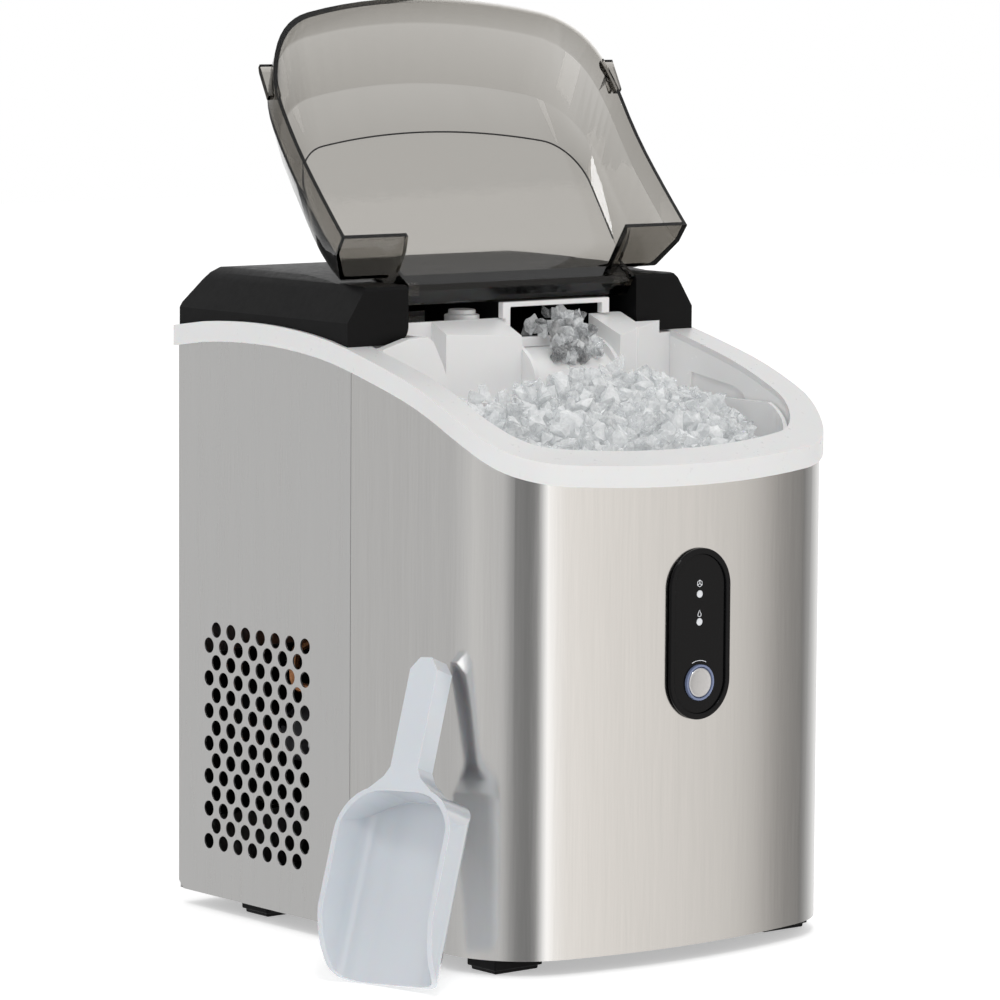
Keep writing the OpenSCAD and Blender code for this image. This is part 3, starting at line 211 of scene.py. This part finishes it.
def turned(name, color):
    """Button face turned on a lathe: fine rings that spread the light round the centre."""
    low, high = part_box("control_button")
    g = Graph(name)
    m = g.node("ShaderNodeMapping")
    m.inputs["Location"].default_value = tuple(-(low[i] + high[i]) / 2 for i in range(3))
    g.link(g.coords, m.inputs["Vector"])
    w = g.node("ShaderNodeTexWave", Scale=900.0, Distortion=0.6)
    w.wave_type = "RINGS"
    w.rings_direction = "Y"
    g.link(m.outputs["Vector"], w.inputs["Vector"])
    g.link(g.ramp(w.outputs["Fac"], [(0.0, tinted(color, 0.92)), (1.0, tinted(color, 1.05))]),
           g.bsdf.inputs["Base Color"])
    g.link(g.span(w.outputs["Fac"], 0.2, 0.3, 0.0, 1.0), g.bsdf.inputs["Roughness"])
    g.bump(w.outputs["Fac"], 0.00003, 0.6)
    g.set(Metallic=1.0, Anisotropic=0.8)
    return g.mat


def board(name):
    """Circuit board: green lacquer with lighter tracks."""
    g = Graph(name)
    v = g.node("ShaderNodeTexVoronoi", Scale=260.0)
    g.link(g.coords, v.inputs["Vector"])
    g.link(g.ramp(v.outputs["Distance"], [(0.25, (0.02, 0.14, 0.06)), (0.5, (0.04, 0.26, 0.11))]),
           g.bsdf.inputs["Base Color"])
    g.bump(v.outputs["Distance"], 0.00005, 0.5)
    g.set(Roughness=0.35)
    return g.mat


WHITE = (0.76, 0.76, 0.76)
LOOK = {
    "front_steel": brushed("front_steel", (0.74, 0.73, 0.715), 0.17, depth=0.000006, vary=0.035),
    "side_steel": brushed("side_steel", (0.71, 0.705, 0.695), 0.30, vary=0.015, depth=0.000004),
    "white_plastic": plastic("white_plastic", WHITE, 0.3, vary=0.012,
                             Subsurface_Weight=0.15, Subsurface_Scale=0.004),
    # Bin plastic gives off a faint white light of its own: a painted glow that brightens the bin's inside.
    "bin_plastic": plastic("bin_plastic", (0.80, 0.80, 0.80), 0.24, grain=0.000003, vary=0.01,
                           Subsurface_Weight=0.1, Subsurface_Scale=0.002, Emission_Color=(1, 1, 1, 1),
                           Emission_Strength=0.05),
    "black_cover": plastic("black_cover", (0.0060, 0.0060, 0.0063), 0.42, grain=0.00005,
                           grain_scale=2400.0, vary=0.1, Specular_IOR_Level=0.1),
    "smoked_plastic": smoked("smoked_plastic"),
    # Near-black bead laid along the lid's bend: painted shade.
    "crease_shade_line": plastic("crease_shade_line", (0.012, 0.012, 0.014), 0.2, grain=0.00001, vary=0.1),
    "black_gloss": plastic("black_gloss", (0.004, 0.004, 0.0045), 0.08, grain=0.000003, vary=0.1,
                           Specular_IOR_Level=0.16),
    "lamp": plastic("lamp", (0.55, 0.56, 0.58), 0.3, Emission_Color=(0.95, 0.97, 1, 1),
                    Emission_Strength=0.2),
    # White print that gives off light of its own: the white is the print, the glow is painted light.
    "print_white": plastic("print_white", (0.75, 0.76, 0.78), 0.45, grain=0.000005,
                           Emission_Color=(0.9, 0.93, 1, 1), Emission_Strength=0.15),
    "ring_light": plastic("ring_light", (0.16, 0.19, 0.30), 0.2, grain=0.00001,
                          Emission_Color=(0.45, 0.6, 1, 1), Emission_Strength=0.05),
    "button_metal": turned("button_metal", (0.70, 0.70, 0.71)),
    "stainless": metal("stainless", (0.66, 0.66, 0.67), 0.25),
    "zinc_screw": metal("zinc_screw", (0.72, 0.73, 0.74), 0.3),
    "dark_metal": metal("dark_metal", (0.02, 0.02, 0.022), 0.4, metallic=0.0, vary=0.15),
    "motor_metal": metal("motor_metal", (0.22, 0.22, 0.24), 0.38, metallic=0.6),
    "cast_housing": metal("cast_housing", (0.5, 0.51, 0.53), 0.5, depth=0.0001, scale=500.0),
    "fin_aluminium": metal("fin_aluminium", (0.74, 0.75, 0.77), 0.32),
    "copper": metal("copper", (0.80, 0.36, 0.17), 0.25, vary=0.14),
    "gear_plastic": plastic("gear_plastic", (0.76, 0.73, 0.62), 0.35),
    "insulation_foam": plastic("insulation_foam", (0.74, 0.70, 0.58), 0.8, grain=0.0005, grain_scale=500.0),
    "black_foam": plastic("black_foam", (0.03, 0.03, 0.03), 0.85, grain=0.0005, grain_scale=420.0),
    "rubber_black": plastic("rubber_black", (0.006, 0.006, 0.0065), 0.5, grain=0.00008, vary=0.12,
                            Specular_IOR_Level=0.1),
    "clear_hose": plastic("clear_hose", (0.85, 0.88, 0.90), 0.2, grain=0.00001, Transmission_Weight=0.6),
    "tank_plastic": plastic("tank_plastic", (0.82, 0.86, 0.88), 0.35, Transmission_Weight=0.3),
    "float_plastic": plastic("float_plastic", (0.86, 0.80, 0.55), 0.5, grain=0.0001),
    "circuit_board": board("circuit_board"),
    "scoop_plastic": plastic("scoop_plastic", (0.66, 0.70, 0.745), 0.18, grain=0.000008, vary=0.015,
                             Subsurface_Weight=0.2, Subsurface_Scale=0.003, Coat_Weight=1.0,
                             Coat_Roughness=0.06),
    "ice_clear": ice("ice_clear", 0.92, 0.93),
    "ice_cloudy": ice("ice_cloudy", 0.6, 0.97),
    "ice_wet": ice("ice_wet", 0.97, 0.62),
}


# ---- pieces ---------------------------------------------------------------------------------

def dress(obj, slot):
    obj.data.materials.clear()
    obj.data.materials.append(LOOK[slot])


def adopt(obj, node):
    """obj stands for a CAD node: it rides with it and takes its finish."""
    dress(obj, SLOT_OF[node])
    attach(obj, BODY_OF[node])
    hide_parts(node)


def new_object(name, mesh):
    obj = bpy.data.objects.new(name, mesh)
    bpy.context.scene.collection.objects.link(obj)
    return obj


def applied(obj):
    """Bakes obj's modifiers into its mesh."""
    dg = bpy.context.evaluated_depsgraph_get()
    mesh = bpy.data.meshes.new_from_object(obj.evaluated_get(dg))
    obj.modifiers.clear()
    obj.data = mesh


# Edges that turn more than this are rounded; flatter ones are smoothed over.
SHARP = math.radians(28.0)


def softened(node, width):
    """A finished version of a CAD node: small radii on its edges and smooth curved faces."""
    bm = bmesh.new()
    bm.from_mesh(NODES[node].data)
    bmesh.ops.remove_doubles(bm, verts=bm.verts, dist=1e-6)
    bmesh.ops.dissolve_limit(bm, angle_limit=math.radians(0.3), verts=bm.verts, edges=bm.edges,
                             use_dissolve_boundaries=False)
    bmesh.ops.recalc_face_normals(bm, faces=bm.faces)
    for f in bm.faces:
        f.smooth = True
    for e in bm.edges:
        e.smooth = not e.is_manifold or e.calc_face_angle(0) < SHARP
    mesh = bpy.data.meshes.new(node + "_finished")
    bm.to_mesh(mesh)
    bm.free()
    obj = new_object(node + "_finished", mesh)
    b = obj.modifiers.new("edge", "BEVEL")
    b.width = width
    b.segments = 2
    b.limit_method = "ANGLE"
    b.angle_limit = SHARP
    b.use_clamp_overlap = True
    b.harden_normals = False
    b.miter_outer = "MITER_ARC"
    obj.modifiers.new("normals", "WEIGHTED_NORMAL").keep_sharp = False
    applied(obj)
    adopt(obj, node)


for name, obj in NODES.items():
    dress(obj, SLOT_OF[name])

# Radius on the edges of each finished node, in millimetres.
EDGES = {
    "front_shell": 0.25, "left_side_panel": 0.2, "right_side_panel": 0.2, "rim_trim": 1.1,
    "top_cover": 1.0, "bin_liner": 0.8, "left_housing": 1.3, "right_housing": 1.3,
    "ice_chute": 0.8, "outlet_frame": 0.6, "sensor_cap": 0.7, "control_bezel": 0.6, "control_fascia": 0.2,
    "button_ring": 0.3, "control_button": 0.25, "feet": 0.8, "base_pan": 0.5, "scoop": 0.7, "lid": 0.5,
    "drain_cap": 0.5, "drain_fitting": 0.4, "power_inlet": 0.5, "ice_outlet_duct": 0.4,
}
for name, radius in EDGES.items():
    softened(name, radius * MM)


# ---- details of the lid and the panel ---------------------------------------------------------

def tube(name, points, radius, slot, body, closed=False):
    """A thin round bead along points."""
    curve = bpy.data.curves.new(name, "CURVE")
    curve.dimensions = "3D"
    curve.bevel_depth = radius
    curve.bevel_resolution = 2
    curve.use_fill_caps = True
    line = curve.splines.new("POLY")
    line.points.add(len(points) - 1)
    for q, p in zip(line.points, points):
        q.co = (*p, 1)
    line.use_cyclic_u = closed
    made = bpy.data.objects.new(name, curve)
    bpy.context.scene.collection.objects.link(made)
    mesh = bpy.data.meshes.new_from_object(made.evaluated_get(bpy.context.evaluated_depsgraph_get()))
    bpy.data.objects.remove(made)
    mesh.materials.clear()
    mesh.materials.append(LOOK[slot])
    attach(new_object(name, mesh), body)


def arc(cx, cy, r, a0, a1, n):
    """n + 1 points along an arc, angles in degrees."""
    angles = [math.radians(a0 + (a1 - a0) * i / n) for i in range(n + 1)]
    return [(cx + r * math.cos(a), cy + r * math.sin(a)) for a in angles]


HINGE = next(j for j in frame["record"]["behaviour"]["joints"] if j["name"] == "lid_hinge")
# Turns a point of the shut lid to where the lid stands at rest.
OPENED = (Matrix.Translation(HINGE["pos_m"]) @ Matrix.Rotation(math.radians(HINGE["range_deg"][0]), 4, "X")
          @ Matrix.Translation([-c for c in HINGE["pos_m"]]))
# The bend between the lid's sloping skirt and its top, in millimetres with the lid shut.
CREASE_HALF, CREASE_FRONT, CREASE_R, CREASE_BOW = 93.8, -92.8, 26.0, 411.0
CREASE_FLAT_Y, CREASE_TOP, CREASE_SLOPE = -23.0, 330.6, 0.42


def lid_crease_shade():
    """A painted dark line of shade along the bend, from one side of the lid round the front to the other: a
    thin near-black bead stands in for the shade there.
    """
    cx = CREASE_HALF - CREASE_R
    by = CREASE_FRONT + CREASE_BOW
    cy = by - math.sqrt((CREASE_BOW - CREASE_R) ** 2 - cx * cx)
    at = math.degrees(math.asin(cx / (CREASE_BOW - CREASE_R)))
    left = [(-CREASE_HALF, y) for y in (-30.0, -38.0, -47.0, cy + 1)]
    left += arc(-cx, cy, CREASE_R, 180, 270 - at, 12)
    front = arc(0, by, CREASE_BOW, 270 - at, 270, 12)[1:]
    plan = left + front
    plan += [(-x, y) for x, y in reversed(plan[:-1])]
    points = [OPENED @ (Vector((x, y, CREASE_TOP + CREASE_SLOPE * (y - CREASE_FLAT_Y))) * MM)
              for x, y in plan]
    tube("lid_crease_shade", points, 0.45 * MM, "crease_shade_line", "lid")


lid_crease_shade()


def panel_marks():
    """Plain printed marks beside the lamps and over the button: a cube, a drop and an arc, drawn in white
    print that carries a painted glow.
    """
    lamp_low, lamp_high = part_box("status_lamps")
    face_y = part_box("control_fascia")[0].y - 0.02 * MM
    ring_low, ring_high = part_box("button_ring")
    x = (lamp_low.x + lamp_high.x) / 2
    lamp = (lamp_high.x - lamp_low.x) / 2
    ring = (ring_low + ring_high) / 2
    ring_r = (ring_high.x - ring_low.x) / 2
    line = 0.16 * MM
    up = lamp_high.z + 3.4 * MM
    r = 1.7 * MM
    cube = [(x + r * math.cos(math.radians(a)), face_y, up + r * math.sin(math.radians(a)))
            for a in range(30, 390, 60)]
    tube("mark_cube", cube, line, "print_white", "cabinet", closed=True)
    for k in (1, 3, 5):
        a = math.radians(30 + 60 * k)
        arm = (x + r * math.cos(a), face_y, up + r * math.sin(a))
        tube("mark_cube_edge%d" % k, [(x, face_y, up), arm], line, "print_white", "cabinet")
    mid = lamp_low.z + lamp + 3.6 * MM
    drop = [(x + 0.62 * r * px, face_y, mid + 0.62 * r * pz) for px, pz in arc(0, 0, 1.0, -215, 35, 14)]
    tube("mark_drop", drop + [(x, face_y, mid + 1.25 * r)], line, "print_white", "cabinet", closed=True)
    swing = [(ring.x + (ring_r + 1.9 * MM) * px, face_y, ring.z + (ring_r + 1.9 * MM) * pz)
             for px, pz in arc(0, 0, 1.0, 65, 115, 8)]
    tube("mark_arc", swing, line, "print_white", "cabinet")


panel_marks()


# ---- ice ------------------------------------------------------------------------------------

def nugget(bm, rng, at, size):
    """One crumbled nugget: a flat irregular lump whose faces are broken into small chips."""
    turn = Euler([rng.uniform(0, 6.28) for _ in range(3)]).to_matrix()
    stretch = Vector((1.1, rng.uniform(0.7, 1.05), rng.uniform(0.45, 0.75)))
    lump = bmesh.new()
    verts = []
    for _ in range(14):
        v = Vector([rng.gauss(0, 1) for _ in range(3)]).normalized() * rng.uniform(0.75, 1.1)
        verts.append(lump.verts.new((v.x * stretch.x, v.y * stretch.y, v.z * stretch.z)))
    out = bmesh.ops.convex_hull(lump, input=verts)
    loose = [g for g in out["geom_interior"] + out["geom_unused"]
             if isinstance(g, bmesh.types.BMVert) and g.is_valid]
    bmesh.ops.delete(lump, geom=list(set(loose)), context="VERTS")
    bmesh.ops.subdivide_edges(lump, edges=lump.edges[:], cuts=1, use_grid_fill=True)
    bmesh.ops.triangulate(lump, faces=lump.faces[:])
    made = {}
    for v in lump.verts:
        made[v.index] = bm.verts.new(turn @ (v.co * rng.uniform(0.88, 1.08)) * size + at)
    for f in lump.faces:
        bm.faces.new([made[v.index] for v in f.verts])
    lump.free()


def ice_piece(name, places, slot, body, seed):
    """One object of many nuggets, at the given places and sizes."""
    rng = random.Random(seed)
    bm = bmesh.new()
    for at, size in places:
        nugget(bm, rng, at, size)
    mesh = bpy.data.meshes.new(name)
    bm.to_mesh(mesh)
    bm.free()
    obj = new_object(name, mesh)
    obj.data.materials.append(LOOK[slot])
    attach(obj, body)


def heap_top(x, y):
    """Height of the heap in the basket, highest under the outlet."""
    rear = (y - basket_low.y) / (basket_high.y - basket_low.y)
    z = basket_high.z - 0.024 + 0.030 * rear
    dx = (x - outlet.x) / 0.055
    dy = (y - basket_high.y) / 0.05
    z += 0.012 * math.exp(-dx * dx - dy * dy)
    side = abs(x) / (basket_high.x - 0.006)
    return z - 0.006 * side ** 3


basket_low, basket_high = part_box("ice_basket")
frame_low, frame_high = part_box("outlet_frame")
outlet = (frame_low + frame_high) / 2
rng = random.Random(7)
# Ice keeps this far in from the basket's box, and this round in its front corners.
WALL, BOW, CORNER = 0.0085, 0.006, 0.036


def past_corner(x, y):
    """How far x and y reach into a rounded front corner, and the distance from its centre."""
    cx = max(0.0, abs(x) - (basket_high.x - WALL - CORNER))
    cy = max(0.0, basket_low.y + WALL + BOW + CORNER - y)
    return cx, cy, math.hypot(cx, cy)


def heap_of_nuggets():
    """Two layers of nuggets over the basket, jittered on a grid."""
    step, drop = 0.0062, 0.0062
    clear, cloudy = [], []
    ys = int((basket_high.y - basket_low.y) / step)
    xs = int((basket_high.x - basket_low.x) / step)
    for layer in range(2):
        for iy in range(ys):
            for ix in range(xs):
                x = basket_low.x + WALL + (ix + rng.uniform(0.1, 0.9)) * step
                y = basket_low.y + WALL + (iy + rng.uniform(0.1, 0.9)) * step
                if x > basket_high.x - WALL or y > basket_high.y - WALL + 0.001:
                    continue
                if past_corner(x, y)[2] > CORNER:
                    continue
                z = heap_top(x, y) - layer * drop + rng.uniform(-0.002, 0.004)
                size = rng.uniform(0.0040, 0.0078)
                (clear if rng.random() < 0.5 else cloudy).append((Vector((x, y, z)), size))
    ice_piece("ice_heap_clear", clear, "ice_clear", "ice_basket", 11)
    ice_piece("ice_heap_cloudy", cloudy, "ice_cloudy", "ice_basket", 12)


def ice_core():
    """The ice under the nuggets: a closed lumpy block that fills the basket."""
    bm = bmesh.new()
    n = 26
    grid = {}
    for j in range(n + 1):
        for i in range(n + 1):
            x = (basket_low.x + WALL) * (1 - i / n) + (basket_high.x - WALL) * i / n
            y = (basket_low.y + WALL + BOW) * (1 - j / n) + (basket_high.y - WALL) * j / n
            cx, cy, d = past_corner(x, y)
            if d > CORNER:
                x -= math.copysign(cx * (1 - CORNER / d), x)
                y += cy * (1 - CORNER / d)
            z = heap_top(x, y) - 0.007 + rng.uniform(-0.0015, 0.0015)
            grid[i, j] = (bm.verts.new((x, y, z)), bm.verts.new((x, y, basket_low.z + 0.004)))
    for j in range(n):
        for i in range(n):
            a, b, c, d = grid[i, j], grid[i + 1, j], grid[i + 1, j + 1], grid[i, j + 1]
            bm.faces.new((a[0], b[0], c[0], d[0]))
            bm.faces.new((d[1], c[1], b[1], a[1]))
    edge = ([(i, 0) for i in range(n)] + [(n, j) for j in range(n)]
            + [(i, n) for i in range(n, 0, -1)] + [(0, j) for j in range(n, 0, -1)])
    for k in range(len(edge)):
        a, b = grid[edge[k]], grid[edge[(k + 1) % len(edge)]]
        bm.faces.new((a[0], a[1], b[1], b[0]))
    mesh = bpy.data.meshes.new("ice_core")
    bm.to_mesh(mesh)
    bm.free()
    core = new_object("ice_core", mesh)
    core.data.materials.append(LOOK["ice_cloudy"])
    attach(core, "ice_basket")


def ice_stream():
    """Nuggets sliding out of the outlet and down the chute."""
    chute_low, chute_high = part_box("ice_chute")
    reach = (chute_high.y - chute_low.y) * 0.86
    fall, bend = 0.021, math.radians(78)
    places = []
    for _ in range(78):
        t = rng.random() ** 0.9
        a = t * bend
        y = chute_high.y + 0.006 - (reach + 0.004) * math.sin(a)
        z = (frame_low.z + 0.0115 - fall * (1 - math.cos(a))
             + rng.uniform(-0.004, 0.006) * (1 - 0.3 * t))
        x = outlet.x + rng.uniform(-0.013, 0.013) * (1.0 + 0.15 * t)
        places.append((Vector((x, y, z)), rng.uniform(0.0036, 0.0062)))
    ice_piece("ice_stream_clear", places[::2], "ice_wet", "cabinet", 13)
    ice_piece("ice_stream_cloudy", places[1::2], "ice_clear", "cabinet", 14)


heap_of_nuggets()
ice_core()
ice_stream()


# ---- stage, light and camera ----------------------------------------------------------------

def stage_floor():
    """White table. It gives off a little light of its own, like a lit studio table."""
    bm = bmesh.new()
    s = 6.0
    corners = [(-s, -s), (s, -s), (s, s), (-s, s)]
    bm.faces.new([bm.verts.new((x, y, 0)) for x, y in corners])
    mesh = bpy.data.meshes.new("floor")
    bm.to_mesh(mesh)
    bm.free()
    obj = new_object("floor", mesh)
    g = Graph("floor")
    g.link(g.ramp(g.noise(3.0), [(0.3, (0.93, 0.93, 0.93)), (0.7, (0.95, 0.95, 0.95))]),
           g.bsdf.inputs["Base Color"])
    g.set(Roughness=0.9, Specular_IOR_Level=0.0, Emission_Color=(1, 1, 1, 1), Emission_Strength=0.42)
    obj.data.materials.append(g.mat)
    # Steel and gloss show the studio round them, not the table.
    obj.visible_glossy = False


def area_light(name, at, towards, size, power):
    data = bpy.data.lights.new(name, "AREA")
    data.shape = "RECTANGLE"
    data.size, data.size_y = size
    data.energy = power
    obj = bpy.data.objects.new(name, data)
    bpy.context.scene.collection.objects.link(obj)
    obj.location = at
    obj.rotation_euler = (Vector(towards) - Vector(at)).to_track_quat("-Z", "Y").to_euler()


# Brightness of the studio round the horizon: bearing in degrees from +X towards +Y, level, warmth.
STUDIO = [
    (0, 0.50, 0), (20, 0.85, 0), (50, 1.0, 0), (105, 0.85, 0), (129, 0.54, 0), (150, 0.60, 0),
    (169, 0.71, 0.2), (189, 0.64, 0.2), (206, 0.62, 0.1), (215, 0.40, 0), (225, 0.25, 0),
    (239, 0.22, 0), (247, 0.30, 0), (253, 0.85, 0), (260, 1.45, 0.1), (268, 1.10, 0.6),
    (287, 0.98, 1), (294, 0.91, 1), (309, 0.83, 1), (319, 0.78, 1), (326, 0.64, 1),
    (332, 0.36, 1), (342, 0.22, 0.5),
]
SKY = 0.72


def world_light():
    """A soft studio: panels of different brightness round the horizon under an even ceiling."""
    world = bpy.data.worlds.new("studio")
    bpy.context.scene.world = world
    world.use_nodes = True
    tree = world.node_tree

    def node(kind, operation=None, **inputs):
        n = tree.nodes.new(kind)
        if operation:
            n.operation = operation
        for i, v in inputs.items():
            n.inputs[int(i[1:])].default_value = v
        return n

    def link(a, b):
        tree.links.new(a, b)

    split = node("ShaderNodeSeparateXYZ")
    link(node("ShaderNodeTexCoord").outputs["Generated"], split.inputs[0])
    bearing = node("ShaderNodeMath", "ARCTAN2")
    link(split.outputs["Y"], bearing.inputs[0])
    link(split.outputs["X"], bearing.inputs[1])
    turn = node("ShaderNodeMath", "DIVIDE", i1=2 * math.pi)
    link(bearing.outputs[0], turn.inputs[0])
    wrap = node("ShaderNodeMath", "FRACT")
    link(turn.outputs[0], wrap.inputs[0])
    panels = node("ShaderNodeValToRGB")
    for i, (angle, level, warm) in enumerate(STUDIO + [(360, STUDIO[0][1], 0)]):
        e = panels.color_ramp.elements[i] if i < 2 else panels.color_ramp.elements.new(angle / 360)
        e.position = angle / 360
        e.color = (level, level * (1 - 0.035 * warm), level * (1 - 0.075 * warm), 1)
    link(wrap.outputs[0], panels.inputs[0])
    height = node("ShaderNodeMapRange", i1=0.3, i2=0.65, i3=0.0, i4=1.0)
    link(split.outputs["Z"], height.inputs[0])
    ceiling = node("ShaderNodeMixRGB", i2=(SKY, SKY, SKY, 1))
    link(height.outputs[0], ceiling.inputs[0])
    link(panels.outputs["Color"], ceiling.inputs[1])
    # What the camera sees directly behind the object is plain white.
    seen = node("ShaderNodeMixRGB", i2=(1, 1, 1, 1))
    link(node("ShaderNodeLightPath").outputs["Is Camera Ray"], seen.inputs[0])
    link(ceiling.outputs[0], seen.inputs[1])
    link(seen.outputs[0], tree.nodes["Background"].inputs["Color"])


def camera():
    data = bpy.data.cameras.new("camera")
    obj = bpy.data.objects.new("camera", data)
    bpy.context.scene.collection.objects.link(obj)
    turn, down, roll = math.radians(-39.233), math.radians(5.843), math.radians(0.362)
    back = Vector((math.sin(turn) * math.cos(down), -math.cos(turn) * math.cos(down), math.sin(down)))
    right = Vector((math.cos(turn), math.sin(turn), 0))
    up = back.cross(right)
    right2 = right * math.cos(roll) + up * math.sin(roll)
    up2 = up * math.cos(roll) - right * math.sin(roll)
    m = Matrix((right2, up2, back)).transposed().to_4x4()
    m.translation = Vector((-1.6547, -2.0106, 0.5028))
    obj.matrix_world = m
    data.lens = 184.4
    data.sensor_width = 36.0
    data.shift_y = -0.0384
    data.clip_start = 0.05
    bpy.context.scene.camera = obj


stage_floor()
world_light()
area_light("key", (-0.9, -1.3, 2.3), (0, 0, 0.25), (0.5, 0.5), 11)
area_light("top", (0.5, 0.3, 2.2), (0, 0, 0.25), (0.8, 0.8), 5)
bpy.context.scene.view_settings.view_transform = "Standard"
camera()
